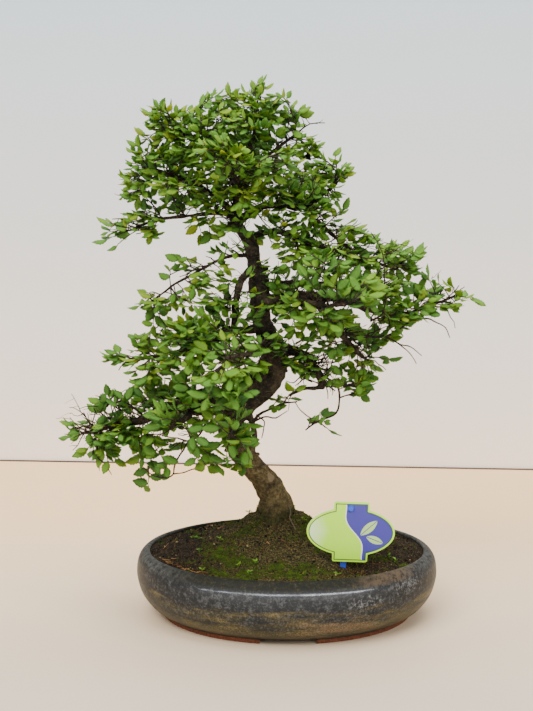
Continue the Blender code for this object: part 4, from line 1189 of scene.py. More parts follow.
draw = random.Random(14)
twig_tubes = [swept(rows, 8) for rows in thin_limbs]
bough_rows = [row for row in limb_rows if carries_twigs(row)]
for _ in range(BARE_TWIGS):
    x, y, z, radius = draw.choice(bough_rows)
    outward = Vector((x + 30, y, 0)).normalized()
    way = outward * 0.8 + Vector((draw.uniform(-1, 1), draw.uniform(-1, 1), draw.uniform(-0.5, 1)))
    foot_radius = min(radius, draw.uniform(0.5, 0.95))
    for rows in forked_twig(draw, (x, y, z), way.normalized(), draw.uniform(14, 38), foot_radius):
        twig_tubes.append(swept(rows, 5))
twig_bark = Finish("twig_bark", Roughness=0.8, Specular_IOR_Level=0.12)
twig_grain = twig_bark.clouds(2.4 * MM, 5)
twig_bark.feed("Base Color", twig_bark.ramp(
    twig_grain, (0.3, (0.008, 0.005, 0.003)), (0.55, (0.034, 0.022, 0.013)), (0.75, (0.095, 0.064, 0.038))
))
twig_bark.relief(twig_grain, 0.4 * MM)
add_solids("thin_limbs_and_twigs", twig_tubes, twig_bark)
print("Thin limbs and twigs:", len(twig_tubes))

# %% [markdown]
# ## Where leaves grow
# The crown is a set of clouds, one per solid spray. A row has the three numbers of its middle, its
# three half widths and a leaf's length.
# The first shoots repeat how the solids grew, with the same draws in the same order, so the fine
# foliage keeps their form. Each shoot is a rib from a base to an end, with a normal that faces the
# light. A shoot is bent until it keeps clear of the wood and of the other shoots.

# %% Clouds of leaves
SPRAYS = {
    "crown_top": (-30, 0, 495, 33, 34, 26, 15),
    "crown_top_left": (-65, -10, 480, 31, 36, 24, 15),
    "crown_top_right": (5, 5, 480, 28, 34, 26, 15),
    "crown_lobe_left": (-115, 0, 480, 32, 32, 26, 15),
    "crown_mid_left": (-130, -5, 445, 33, 36, 23, 15),
    "crown_far_left": (-150, 0, 415, 26, 30, 20, 15),
    "crown_tip_left": (-160, 0, 380, 34, 24, 13, 16),
    "crown_front": (-60, -60, 445, 37, 34, 28, 16),
    "crown_back": (-55, 60, 460, 44, 36, 33, 15),
    "crown_right": (40, 0, 435, 31, 34, 26, 15),
    "crown_front_right": (-10, -45, 435, 34, 34, 26, 16),
    "crown_back_right": (0, 50, 435, 39, 34, 31, 15),
    "crown_front_left": (-100, -35, 410, 36, 30, 19, 16),
    "crown_back_left": (-105, 40, 420, 37, 34, 27, 15),
    "crown_low_right": (25, -15, 395, 33, 34, 17, 16),
    "crown_low_front": (-45, -50, 400, 26, 26, 15, 18),
    "right_upper": (65, 0, 370, 32, 34, 20, 17),
    "right_upper_far": (110, 0, 355, 32, 32, 19, 17),
    "right_far": (140, 0, 330, 26, 30, 20, 18),
    "right_tip": (165, 0, 310, 28, 18, 11, 18),
    "right_front_upper": (30, -50, 350, 32, 34, 24, 18),
    "right_front_mid": (70, -50, 325, 34, 34, 24, 19),
    "right_front_far": (115, -25, 300, 33, 32, 19, 18),
    "right_back_upper": (45, 50, 345, 39, 34, 29, 16),
    "right_back_far": (100, 50, 320, 41, 34, 29, 16),
    "right_low_front": (35, -50, 295, 36, 34, 25, 19),
    "right_low_far": (90, -10, 265, 33, 34, 25, 18),
    "right_low_back": (65, 40, 275, 41, 34, 27, 16),
    "right_low": (65, -5, 235, 35, 30, 18, 17),
    "hanging_shoot": (30, 0, 195, 26, 14, 16, 16),
    "low_right_shoot": (-5, -10, 212, 25, 14, 14, 16),
    "left_thin_inner": (-90, 0, 350, 35, 18, 15, 17),
    "left_thin_outer": (-125, 0, 310, 32, 20, 15, 16),
    "left_upper": (-70, -20, 310, 27, 28, 21, 18),
    "left_mid": (-140, 0, 265, 41, 30, 19, 18),
    "left_mid_front": (-90, -50, 285, 39, 36, 25, 19),
    "left_mid_back": (-100, 45, 275, 39, 34, 29, 16),
    "left_low_mid": (-130, -30, 240, 34, 34, 21, 19),
    "left_low_outer": (-175, -5, 215, 29, 30, 18, 18),
    "left_low_tip": (-205, 0, 180, 27, 26, 16, 18),
    "left_low_under": (-165, -25, 180, 35, 34, 21, 19),
    "left_low_front": (-110, -65, 210, 33, 34, 24, 20),
    "left_low_back": (-140, 45, 205, 41, 34, 27, 17),
    "centre_front": (-60, -90, 230, 42, 30, 25, 21),
    "low_front": (-55, -65, 175, 37, 30, 19, 22),
    "left_low_bottom": (-120, -20, 150, 35, 34, 19, 20),
    "left_low_edge": (-175, -5, 150, 31, 30, 15, 18),
}
print("Clouds:", len(SPRAYS))

# %% Growth: measures
LEAF_DROOP = 0.16
LEAF_ANGLE = radians(52)
LEAF_PLACES = (0.1, 0.55)
SHOOT_ARCH = 0.06
TREE_MIDDLE = Vector((-30, 0, 330)) * MM
LIGHT = Vector((0, -0.35, 1))
FACE_OUTWARD = 0.45
FACE_DRAW = 0.3
SPRAY_FILL = 0.95
SHOOT_DIRECTIONS = 14
SHOOTS_PER_SPRAY = 3
SMALL_SPRAY_SHOOTS = 2
SMALL_SPRAY = 12000 * MM**3
LEAD_BARE = 10 * MM
SIDE_BARE = 3 * MM
SIDE_PLACES = (0.2, 0.9)
GOLDEN_SHARE = 0.618
SHOOT_CLEARANCE = 2.7 * MM
WOOD_CLEARANCE = 2 * MM
CLEAR_FOOT = 1 * MM
OWN_ROOT_REACH = 5.5 * MM
BEND_TRIES = 8
BEND_REACH = 0.4
BEND_SHORTENING = 0.4
ROOT_SPACING = 7 * MM
WOOD_SAMPLE_SPACING = 4 * MM
RIB_SAMPLE_SPACING = 2.5 * MM
LEAF_SAMPLES = ((0.25, 0.24), (0.5, 0.22), (0.75, 0.13), (1, 0))
Shoot = namedtuple("Shoot", "base end normal leaf")
Spray = namedtuple("Spray", "name middle radii leaf root root_radius directions shoots samples draw")
print("Leaves stand", round(degrees(LEAF_ANGLE)), "degrees off their shoot.")


# %% Growth: where wood, sprays and shoots are
def wood_samples():
    """Places along every limb, each with the radius that the limb has there."""
    samples = []
    for limb in LIMBS.values():
        points = [Vector(row[:3]) * MM for row in limb]
        radii = [row[3] * MM for row in limb]
        for start, end, first, last in zip(points, points[1:], radii, radii[1:]):
            count = max(1, round((end - start).length / WOOD_SAMPLE_SPACING))
            for index in range(count):
                share = index / count
                samples.append((start.lerp(end, share), first + (last - first) * share))
        samples.append((points[-1], radii[-1]))
    return samples


def spread_directions(first, turn):
    """Directions all round, in an order that leaps to the widest gap each time."""
    golden = pi * (3 - sqrt(5))
    rest = []
    for index in range(SHOOT_DIRECTIONS):
        height = 1 - 2 * (index + 0.5) / SHOOT_DIRECTIONS
        ring = sqrt(1 - height * height)
        angle = golden * index + turn
        rest.append(Vector((ring * cos(angle), ring * sin(angle), height)))
    rest.sort(key=lambda direction: -direction.dot(first))
    order = [rest.pop(0)]
    while rest:
        widest = min(rest, key=lambda direction: max(direction.dot(other) for other in order))
        order.append(widest)
        rest.remove(widest)
    return order


def cloud(row):
    """Middle and half widths of a listed cloud in metres, and the last number of its row."""
    return Vector(row[:3]) * MM, Vector(row[3:6]) * MM, row[6]


def start_sprays(wood):
    sprays = []
    for index, (name, row) in enumerate(SPRAYS.items()):
        draw = random.Random(index)
        middle, radii, leaf = cloud(row)
        taken = [spray.root for spray in sprays]
        free = [row for row in wood if all((row[0] - root).length > ROOT_SPACING for root in taken)]
        root, root_radius = min(free, key=lambda row: (row[0] - middle).length)
        directions = spread_directions((middle - TREE_MIDDLE).normalized(), draw.uniform(0, tau))
        sprays.append(Spray(name, middle, radii, leaf * MM, root, root_radius, directions, [], [], draw))
    return sprays


def shoot_place(shoot, along, across, lift=0):
    """A place so far along a shoot's rib, to its left and above it, with the shoot's arch and droop."""
    line = shoot.end - shoot.base
    forward = line.normalized()
    share = along / line.length
    arch = 4 * SHOOT_ARCH * line.length * share * (1 - share)
    height = lift + arch - LEAF_DROOP * across**2 / shoot.leaf
    return shoot.base + forward * along + shoot.normal.cross(forward) * across + shoot.normal * height


def leaf_nodes(shoot):
    """(place along the rib, angle from it) of the end leaf and of those behind it."""
    rib = (shoot.end - shoot.base).length - shoot.leaf
    nodes = [(rib, 0)]
    for index, place in enumerate(LEAF_PLACES):
        nodes.append((rib - place * shoot.leaf, LEAF_ANGLE if index % 2 else -LEAF_ANGLE))
    return nodes


print("Samples of the wood:", len(wood_samples()))


# %% Growth: the first shoots, like the solids'
def shoot_samples(shoot, root_radius):
    """Places all over a shoot's rib and leaves, which keep it clear of others and of the wood."""
    length = (shoot.end - shoot.base).length
    bare = root_radius + WOOD_CLEARANCE + CLEAR_FOOT
    count = round((length - bare) / RIB_SAMPLE_SPACING)
    samples = [shoot_place(shoot, bare + (length - bare) * step / count, 0) for step in range(count)]
    for along, angle in leaf_nodes(shoot):
        for share, half_width in LEAF_SAMPLES:
            for offset in (-half_width, 0, half_width):
                forward = (share * cos(angle) + offset * sin(angle)) * shoot.leaf
                sideways = (share * sin(angle) - offset * cos(angle)) * shoot.leaf
                samples.append(shoot_place(shoot, along + forward, sideways))
    return samples


def side_root(lead, number):
    """Where a side shoot stands on the bare part of the leading shoot."""
    near, far = SIDE_PLACES
    share = near + (far - near) * (GOLDEN_SHARE * number % 1)
    first_leaf = min(along for along, _ in leaf_nodes(lead))
    return lead.base.lerp(shoot_place(lead, first_leaf, 0), share)


def try_shoot(spray, direction):
    """A shoot to the cloud's edge: the first from the limb, the others from the bare part of the first."""
    base, bare = spray.root, LEAD_BARE
    if spray.shoots:
        base, bare = side_root(spray.shoots[0], len(spray.shoots)), SIDE_BARE
    offset = Vector(side * reach for side, reach in zip(direction, spray.radii)) * SPRAY_FILL
    end = spray.middle + offset
    forward = (end - base).normalized()
    shortest = bare + spray.leaf * (1 + max(LEAF_PLACES))
    end = base + forward * max(shortest, (end - base).length)
    drawn = Vector(spray.draw.uniform(-FACE_DRAW, FACE_DRAW) for _ in range(3))
    facing = LIGHT + direction * FACE_OUTWARD + drawn
    normal = (facing - forward * facing.dot(forward)).normalized()
    return Shoot(base, end, normal, spray.leaf)


def is_clear(shoot, samples, wood, wood_tree, taken, own):
    thickest = max(radius for _, radius in wood)
    for place in samples:
        if taken.find_range(place, SHOOT_CLEARANCE):
            return False
        at_foot = (place - shoot.base).length < OWN_ROOT_REACH
        if not at_foot and any((place - other).length < SHOOT_CLEARANCE for other in own):
            return False
        for _, index, distance in wood_tree.find_range(place, thickest + WOOD_CLEARANCE):
            if distance < wood[index][1] + WOOD_CLEARANCE:
                return False
    return True


def grow_shoot(spray, wood, wood_tree, taken):
    """Adds one shoot, bent clear of what is there, in the first direction that has room for it."""
    while spray.directions:
        direction = spray.directions.pop(0)
        for bend in range(BEND_TRIES):
            reach = BEND_REACH * bend / BEND_TRIES
            bent = direction + Vector(spray.draw.uniform(-reach, reach) for _ in range(3))
            shoot = try_shoot(spray, bent.normalized() * (1 - reach * BEND_SHORTENING))
            samples = shoot_samples(shoot, spray.root_radius)
            if is_clear(shoot, samples, wood, wood_tree, taken, spray.samples):
                spray.shoots.append(shoot)
                spray.samples.extend(samples)
                return


wood = wood_samples()
wood_tree = tree_of([place for place, _ in wood])
sprays = start_sprays(wood)
for turn in range(SHOOTS_PER_SPRAY):
    for spray in sprays:
        if turn >= SMALL_SPRAY_SHOOTS and prod(spray.radii) < SMALL_SPRAY:
            continue
        taken = [place for other in sprays if other is not spray for place in other.samples]
        grow_shoot(spray, wood, wood_tree, tree_of(taken))
print("First shoots:", sum(len(spray.shoots) for spray in sprays))

# %% [markdown]
# ## The rest of the crown
# The real crown has some thousands of leaves, far more than the solids can carry. Further shoots
# fill each cloud. A new one ends at a drawn place in the cloud, and grows from the nearest twig or
# limb that it can follow, which branches the twigs as a real spray does. Of a few tries the one
# whose leaves find the most room is kept.

# %% Growth: filling the clouds
ROOM_PER_SHOOT = 1250 * MM**3
CROWN_ROOM_PER_SHOOT = 950 * MM**3
CROWN_FLOOR = 390 * MM
FEWEST_SHOOTS = 6
FILL_TRIES = 6
STEM_BARE = 4 * MM
FOOTHOLD_RADIUS = 6.5 * MM
LEAF_SHARES = (0.78, 1.02)
SHORTEST_SHOOT = 2.1
LEAF_SPACING = 0.42
STEEPNESS_COST = 1.2 * MM
TWIG_STEP = 4 * MM
RESHAPED = {
    "crown_top_right": (-14, 5, 479, 18, 28, 22, 1),
    "right_upper_far": (110, 0, 355, 32, 32, 19, 1.12),
    "right_front_mid": (70, -50, 325, 34, 34, 24, 1.08),
    "right_front_far": (113, -25, 300, 31, 32, 18, 1.12),
    "left_thin_outer": (-128, 0, 299, 30, 20, 12, 1),
    "left_mid": (-138, 0, 262, 38, 28, 16, 1),
    "right_tip": (158, 0, 299, 22, 12, 6, 0.9),
    "right_far": (138, 0, 320, 24, 28, 20, 1.1),
    "right_low_far": (96, -10, 278, 30, 30, 17, 1),
    "left_low_front": (-115, -64, 213, 30, 30, 20, 1),
    "left_low_bottom": (-118, -21, 160, 27, 24, 12, 1),
    "left_low_edge": (-175, -5, 154, 27, 24, 12, 1),
    "low_front": (-42, -60, 178, 28, 26, 15, 1.15),
    "hanging_shoot": (37, 0, 196, 17, 9, 9, 0.6),
    "low_right_shoot": (-4, -10, 212, 20, 12, 12, 0.75),
}


def leaf_stations(shoot, bare):
    """(place along the rib, angle from it) of every leaf: the solids' three, then on down the rib."""
    nodes = leaf_nodes(shoot)
    rib = nodes[0][0]
    place = LEAF_PLACES[-1] + LEAF_SPACING
    side = -1
    while rib - place * shoot.leaf > bare:
        nodes.append((rib - place * shoot.leaf, side * LEAF_ANGLE))
        place += LEAF_SPACING
        side = -side
    return nodes


def leaf_middles(shoot, bare):
    middles = []
    for along, angle in leaf_stations(shoot, bare):
        forward = 0.5 * cos(angle) * shoot.leaf
        middles.append(shoot_place(shoot, along + forward, 0.5 * sin(angle) * shoot.leaf))
    return middles


def footholds(spray):
    """Places that a new shoot can grow from: along the spray's twigs and the nearby limbs."""
    places = []
    for shoot in spray.shoots:
        length = (shoot.end - shoot.base).length - shoot.leaf
        for step in range(1, max(2, int(length / TWIG_STEP))):
            place = shoot_place(shoot, step * TWIG_STEP, 0)
            places.append((place, (shoot.end - shoot.base).normalized()))
    reach = max(max(spray.radii), (spray.root - spray.middle).length) * 1.3
    for _, index, _ in wood_tree.find_range(spray.middle, reach):
        place, radius = wood[index]
        if radius < FOOTHOLD_RADIUS:
            places.append((place, None))
    return places


def further_shoot(spray, leaf_tree):
    """The roomiest of a few drawn shoots."""
    best = None
    holds = footholds(spray)
    for _ in range(FILL_TRIES):
        direction = Vector(spray.draw.gauss(0, 1) for _ in range(3)).normalized()
        reach = spray.draw.uniform(0.5, 1) ** 0.5
        offset = Vector(side * size for side, size in zip(direction, spray.radii)) * SPRAY_FILL * reach
        end = spray.middle + offset
        leaf = spray.leaf * spray.draw.uniform(*LEAF_SHARES)
        shortest = leaf * SHORTEST_SHOOT
        near = []
        for place, way in holds:
            gap = (end - place).length
            if gap > shortest and (way is None or (end - place).dot(way) > -0.1 * gap):
                near.append((gap, place))
        if not near:
            continue
        base = min(near, key=lambda pair: pair[0])[1]
        forward = (end - base).normalized()
        drawn = Vector(spray.draw.uniform(-0.6, 0.6) for _ in range(3))
        facing = LIGHT + direction * 0.7 + drawn
        normal = (facing - forward * facing.dot(forward)).normalized()
        shoot = Shoot(base, end, normal, leaf)
        middles = leaf_middles(shoot, STEM_BARE)
        room = min(leaf_tree.find(middle)[2] for middle in middles)
        wooded = min(wood_tree.find(middle)[2] for middle in middles)
        score = min(room, wooded * 0.6) + 0.02 * len(middles) * MM - STEEPNESS_COST * abs(forward.z)
        if best is None or score > best[0]:
            best = (score, shoot)
    return best and best[1]


def reshaped(spray):
    """The spray with the place and widths that the rest of its leaves take, and their length."""
    if spray.name not in RESHAPED:
        return spray
    middle, radii, leaf_share = cloud(RESHAPED[spray.name])
    return spray._replace(middle=middle, radii=radii, leaf=spray.leaf * leaf_share)


def shoots_when_full(spray):
    room = CROWN_ROOM_PER_SHOOT if spray.middle.z > CROWN_FLOOR else ROOM_PER_SHOOT
    return round(prod(spray.radii) / room)


def fill(growing):
    """Adds shoots to these sprays, one at a time each, until they are full."""
    full = {spray.name: shoots_when_full(spray) for spray in growing}
    turns = max(FEWEST_SHOOTS, *full.values())
    for turn in range(turns):
        leaf_places = []
        for spray in sprays:
            for shoot in spray.shoots:
                leaf_places += leaf_middles(shoot, STEM_BARE)
        leaf_tree = tree_of(leaf_places)
        for spray in growing:
            if len(spray.shoots) < max(FEWEST_SHOOTS, full[spray.name]):
                shoot = further_shoot(spray, leaf_tree)
                if shoot:
                    spray.shoots.append(shoot)


sprays = [reshaped(spray) for spray in sprays]
fill(sprays)
print("All shoots:", sum(len(spray.shoots) for spray in sprays))

# %% [markdown]
# Seen from the front, leaves also hide most of the limbs between those clouds. Looser growth
# from the limbs themselves does that: short side twigs, in front of the trunk and along the boughs.
# These are places where the photograph shows leaves and the clouds above left a gap. How deep each
# lies was chosen by the nearest limb.

# %% Growth: between the clouds
BETWEEN = {
    "top_left": (-60, 0, 500, 28, 24, 18, 14),
    "top_right": (-9, 0, 502, 22, 24, 15, 14),
    "top_left_low": (-94, 10, 487, 24, 26, 18, 14),
    "crown_left_middle": (-97, -15, 454, 26, 28, 22, 15),
    "crown_middle_front": (-40, -25, 474, 32, 26, 22, 15),
    "crown_right_high": (22, 5, 451, 22, 26, 20, 15),
    "band_middle": (-40, -30, 416, 36, 26, 20, 16),
    "band_right": (2, -24, 411, 30, 26, 19, 16),
    "band_left": (-78, -24, 411, 26, 26, 19, 16),
    "left_edge": (-142, 0, 386, 28, 24, 17, 15),
    "under_left": (-72, -14, 384, 28, 24, 17, 16),
    "under_right": (-2, -17, 383, 32, 28, 20, 16),
    "under_right_low": (6, -17, 355, 24, 24, 20, 16),
    "free_left": (-66, -7, 361, 20, 14, 11, 15),
    "beside_trunk": (-8, -27, 343, 17, 16, 15, 15),
    "left_thin_under": (-126, -5, 300, 26, 20, 12, 16),
    "left_thin_over": (-70, -20, 324, 28, 24, 17, 16),
    "before_trunk": (-35, -42, 309, 20, 18, 22, 16),
    "right_of_trunk": (2, -35, 302, 20, 22, 24, 17),
    "right_of_trunk_low": (4, -32, 277, 22, 24, 22, 17),
    "right_low_over": (34, -15, 264, 28, 28, 19, 17),
    "left_of_trunk": (-45, -45, 274, 28, 22, 22, 18),
    "left_middle": (-90, -42, 252, 38, 32, 22, 18),
    "left_middle_low": (-49, -55, 248, 30, 24, 19, 19),
    "right_low_left": (4, -26, 248, 22, 20, 16, 16),
    "right_low_end": (80, 5, 238, 20, 20, 18, 17),
    "left_back_low": (-119, -10, 231, 28, 28, 18, 17),
    "low_front_edge": (-53, -50, 155, 22, 18, 12, 21),
    "low_left_edge": (-146, -12, 158, 18, 16, 9, 18),
    "right_mid_edge": (114, 0, 342, 20, 22, 19, 17),
    "low_left_mid": (-115, -22, 188, 24, 22, 15, 18),
    "top_low_middle": (-56, -6, 489, 24, 22, 14, 15),
    "top_low_right": (-16, -6, 491, 20, 20, 13, 15),
    "lobe_left_middle": (-136, 0, 464, 22, 22, 18, 15),
    "lobe_middle": (-110, -5, 463, 18, 18, 15, 15),
    "crown_left_inner": (-86, -12, 429, 26, 22, 18, 15),
    "left_edge_high": (-146, 0, 415, 20, 20, 14, 15),
    "crown_centre_low": (-14, -27, 402, 34, 20, 18, 16),
    "crown_right_bough": (36, -18, 412, 22, 20, 15, 15),
    "tip_left_over": (-133, -2, 379, 19, 16, 14, 15),
    "trunk_front_high": (-52, -18, 384, 30, 18, 16, 16),
    "right_under_crown": (22, -15, 380, 20, 18, 14, 16),
    "before_right_bough": (-5, -24, 341, 19, 16, 14, 16),
    "right_edge_middle": (122, -5, 340, 16, 16, 12, 17),
    "left_thin_middle": (-96, -8, 302, 18, 16, 11, 16),
    "before_trunk_low": (11, -25, 285, 24, 18, 18, 17),
    "before_trunk_middle": (-26, -28, 308, 18, 12, 18, 15),
    "right_hole": (80, -10, 341, 20, 18, 14, 17),
    "left_mid_end": (-172, -4, 256, 17, 15, 12, 17),
    "right_low_middle": (4, -15, 243, 22, 18, 15, 16),
    "right_low_outer": (78, -2, 225, 18, 16, 12, 17),
    "low_centre": (-75, -42, 184, 18, 18, 13, 18),
    "low_left_fringe": (-173, -12, 147, 17, 13, 8, 17),
    "low_right_fringe": (-66, -46, 150, 18, 14, 9, 20),
    "crown_behind_top": (-35, 30, 478, 42, 20, 25, 15),
    "crown_behind_left": (-105, 30, 455, 34, 22, 28, 15),
    "crown_behind_middle": (-45, 35, 428, 46, 22, 26, 15),
    "crown_behind_right": (15, 30, 420, 30, 22, 24, 15),
    "left_behind": (-100, 28, 262, 44, 18, 24, 17),
    "behind_trunk": (-12, 28, 302, 26, 15, 32, 16),
    "right_behind": (71, 26, 339, 36, 18, 18, 16),
    "beside_trunk_right": (4, -12, 340, 16, 15, 14, 16),
    "right_low_edge": (108, -6, 282, 20, 16, 13, 17),
    "left_of_trunk_low": (-36, -38, 265, 20, 16, 14, 18),
    "left_upper_outer": (-76, -12, 322, 16, 14, 10, 16),
    "trunk_front_middle": (-22, -20, 382, 22, 16, 14, 16),
    "tip_left_under": (-130, -5, 371, 15, 14, 10, 16),
    "left_middle_under": (-78, -32, 241, 24, 20, 14, 18),
    "low_left_inner": (-109, -26, 185, 17, 15, 12, 18),
    "right_hole_left": (58, -22, 338, 18, 16, 14, 17),
    "crown_low_middle": (-26, -30, 400, 22, 18, 13, 16),
}
BETWEEN_SEED = 500
between = []
for index, (name, row) in enumerate(BETWEEN.items()):
    middle, radii, leaf = cloud(row)
    root, root_radius = min(wood, key=lambda row: (row[0] - middle).length)
    draw = random.Random(BETWEEN_SEED + index)
    between.append(Spray(name, middle, radii, leaf * MM, root, root_radius, [], [], [], draw))
sprays += between
fill(between)
print("Shoots between the clouds:", sum(len(spray.shoots) for spray in between))

# %% [markdown]
# The outline is known by its longest shoots, which stand up out of the crown and reach past the
# ends of the boughs, and by a few that hang. Each is listed by where its tip is and how it leans,
# and it grows from the twig that is nearest to where such a shoot would start.

# %% Growth: the longest shoots
TIPS = (
    (-22, 530, 0.4), (-34, 525, -0.1), (-12, 524, 0.7), (-61, 519, -0.3), (-49, 517, -0.1), (-2, 510, 0.5),
    (10, 508, 0.8), (21, 501, 1.1), (-126, 505, -0.2), (-137, 498, -0.8), (-159, 460, -1.2),
    (-163, 428, -1.5), (-85, 500, -0.2),
    (42, 463, 0.8), (66, 445, 1.2), (31, 467, 0.5), (67, 404, 1.6), (-187, 373, -1.5),
    (186, 316, 2.4), (138, 364, 1.1), (117, 372, 0.8), (-148, 478, -0.9), (50, 432, 1),
)
TIP_DEPTH = -4
TIP_LENGTH = 34 * MM
TIP_LEAF = 15.5 * MM
HANGING_TIPS = (
    (-143, 130, -0.9), (-119, 122, 0.3), (-137, 111, -0.5), (-187, 360, -3), (-176, 351, -2),
)
HANGING_LEAF = 17.5 * MM


def tip_shoot(x, height, lean, rise=1, leaf=TIP_LEAF):
    end = Vector((x, TIP_DEPTH, height)) * MM
    wanted = end - Vector((lean, 0, rise)).normalized() * TIP_LENGTH
    spray = min(sprays, key=lambda other: (other.middle - wanted).length)
    base = min((place for place, _ in footholds(spray)), key=lambda place: (place - wanted).length)
    forward = (end - base).normalized()
    normal = (LIGHT - forward * LIGHT.dot(forward)).normalized()
    spray.shoots.append(Shoot(base, end, normal, leaf))


for tip in TIPS:
    tip_shoot(*tip)
for tip in HANGING_TIPS:
    tip_shoot(*tip, -1, HANGING_LEAF)
print("Long shoots:", len(TIPS) + len(HANGING_TIPS))

# %% [markdown]
# ## One leaf
# A zelkova leaf is a pointed oval, half as wide as it is long, with a saw-toothed edge, folded a
# little along its midrib. It is built once as a flat pattern: an outline with teeth, and inner
# lines for the fold and the curl. Upper and lower face share the edge, so a leaf is a closed thin
# solid, like the real one, and every copy is bent in its own way.

# %% The leaf's pattern
TEETH = 5
LEAF_HALF_WIDTH = 0.28
STALK = 0.09
STALK_HALF_WIDTH = 0.016
INNER_STATIONS = (0.25, 0.5, 0.77)
LEAF_THICKNESS = 0.35 * MM


def leaf_half_width(share):
    """Half the leaf's width at a share of the blade's length."""
    return LEAF_HALF_WIDTH * sin(pi * share**0.86) ** 0.78


def edge_line():
    """(share of the length, half width) along one toothed edge, from the stalk to just before the tip."""
    line = [(STALK * 0.55, STALK_HALF_WIDTH), (STALK, STALK_HALF_WIDTH)]
    for tooth in range(TEETH):
        for lean, push in ((0.12, 0.89), (0.86, 1.09)):
            share = (tooth + lean) / TEETH * 0.94 + 0.04
            line.append((STALK + (1 - STALK) * share, leaf_half_width(share) * push))
    return line


def leaf_pattern():
    """Points as (along, across, face) and triangles of a flat leaf of length 1, upper face first."""
    points = [(0, 0, 0), (1, 0, 0)]
    edges = {}
    for side in (-1, 1):
        edges[side] = []
        for along, half in edge_line():
            edges[side].append((along, len(points)))
            points.append((along, side * half, 0))
    triangles = []

    def strip(first, second, flip):
        """Triangles between two lines of (along, point), stepping on whichever lags."""
        one = two = 0
        while one < len(first) - 1 or two < len(second) - 1:
            second_done = two == len(second) - 1
            if second_done or (one < len(first) - 1 and first[one + 1][0] <= second[two + 1][0]):
                corners = (first[one][1], second[two][1], first[one + 1][1])
                one += 1
            else:
                corners = (first[one][1], second[two][1], second[two + 1][1])
                two += 1
            if len(set(corners)) == 3:
                triangles.append(corners[::-1] if flip else corners)

    for face in (1, -1):
        lines = {}
        for column in (-0.5, 0, 0.5):
            lines[column] = [(0, 0)]
            for station in INNER_STATIONS:
                share = (station - STALK) / (1 - STALK)
                lines[column].append((station, len(points)))
                points.append((station, column * leaf_half_width(share), face))
            lines[column].append((1, 1))
        borders = {side: [(0, 0), *edges[side], (1, 1)] for side in (-1, 1)}
        order = [borders[-1], lines[-0.5], lines[0], lines[0.5], borders[1]]
        for near, far in zip(order, order[1:]):
            strip(near, far, face < 0)
    return np.array(points, float), np.array(triangles)


pattern, pattern_triangles = leaf_pattern()
print("One leaf has", len(pattern_triangles), "triangles.")

# %% [markdown]
# A leaf is green from above and paler beneath, with a pale midrib and side veins that run forward
# to the teeth. The pattern's own measures are noted for every point, so the veins are drawn with
# arithmetic. Each leaf also notes how young it is, mixed with painted light: young ones at the
# shoot tips are yellow-green, leaves high in the tree and on top of their spray are painted
# lighter as if sunlit, and leaves low in their spray are painted darker as if shaded.

# %% Finish the leaves
foliage = Finish("zelkova_leaf", Specular_IOR_Level=0.12)
leaf_note = foliage.note("blade", "Vector")
along, across, age_and_light = foliage.split(leaf_note)
under = foliage.note("under")
vein_course = along * 9 - abs(across) * 3.2
veins = vein_course.math("FRACT", vein_course)
vein_lines = abs(veins - 0.5).fade(0.10, 0.02)
midrib = abs(across).fade(0.09, 0.03)
vein = (vein_lines * 0.45).larger(midrib)
# Painted light and shade: broad patches across the crown lighten and darken the leaves, as lit and shaded
# clumps would.
patch = foliage.clouds(38 * MM, 3) - 0.5
tone = age_and_light + patch * 0.6 + (foliage.clouds(2.5 * MM, 3) - 0.5) * 0.12
leaf_green = foliage.ramp(
    tone, (0.0, (0.028, 0.092, 0.018)), (0.3, (0.054, 0.160, 0.020)), (0.57, (0.090, 0.226, 0.018)),
    (0.8, (0.168, 0.294, 0.013)), (1.0, (0.305, 0.365, 0.014)),
)
veined = foliage.blend(vein * 0.3, leaf_green, (0.20, 0.34, 0.03))
foliage.feed("Base Color", foliage.blend(under * 0.4, veined, (0.12, 0.25, 0.035)))
foliage.feed("Roughness", 0.48 + under * 0.2 - vein * 0.05)
foliage.relief(1 - vein, 0.25 * MM, 0.6)
print("The leaf finish has", len(foliage.tree.nodes), "nodes.")

# %% [markdown]
# Young stems are tan to green, and darken to brown with age. The stem's age is noted along it.

# %% Finish the stems
stem_skin = Finish("stem", Roughness=0.6, Specular_IOR_Level=0.2)
stem_tone = stem_skin.note("tone") + (stem_skin.clouds(3 * MM, 3) - 0.5) * 0.3
stem_skin.feed("Base Color", stem_skin.ramp(
    stem_tone, (0.1, (0.014, 0.010, 0.007)), (0.5, (0.060, 0.040, 0.020)), (0.95, (0.23, 0.23, 0.06))
))
stem_skin.relief(stem_skin.clouds(1.5 * MM), 0.25 * MM)
print("Stems are finished.")


# %% Leaves of one spray
LEVELLING = 0.62
TO_LIGHT = Vector((0, -0.75, 1)).normalized()
LEAD_STEM_BARE = 7 * MM
SWING = 0.27
DIP = (-0.06, 0.34)
ROLL = 0.46
PITCH = 0.32
LEAF_SIZES = (0.72, 1.08)
END_LEAF_SIZE = 0.88
YOUNG_REACH = 3.2
AGE_DRAW = 0.14
PALE_SHARE = 0.06
PALE_MORE = 0.34
FOLDS = (0.0, 0.34)
CURLS = (0.14, 0.15)


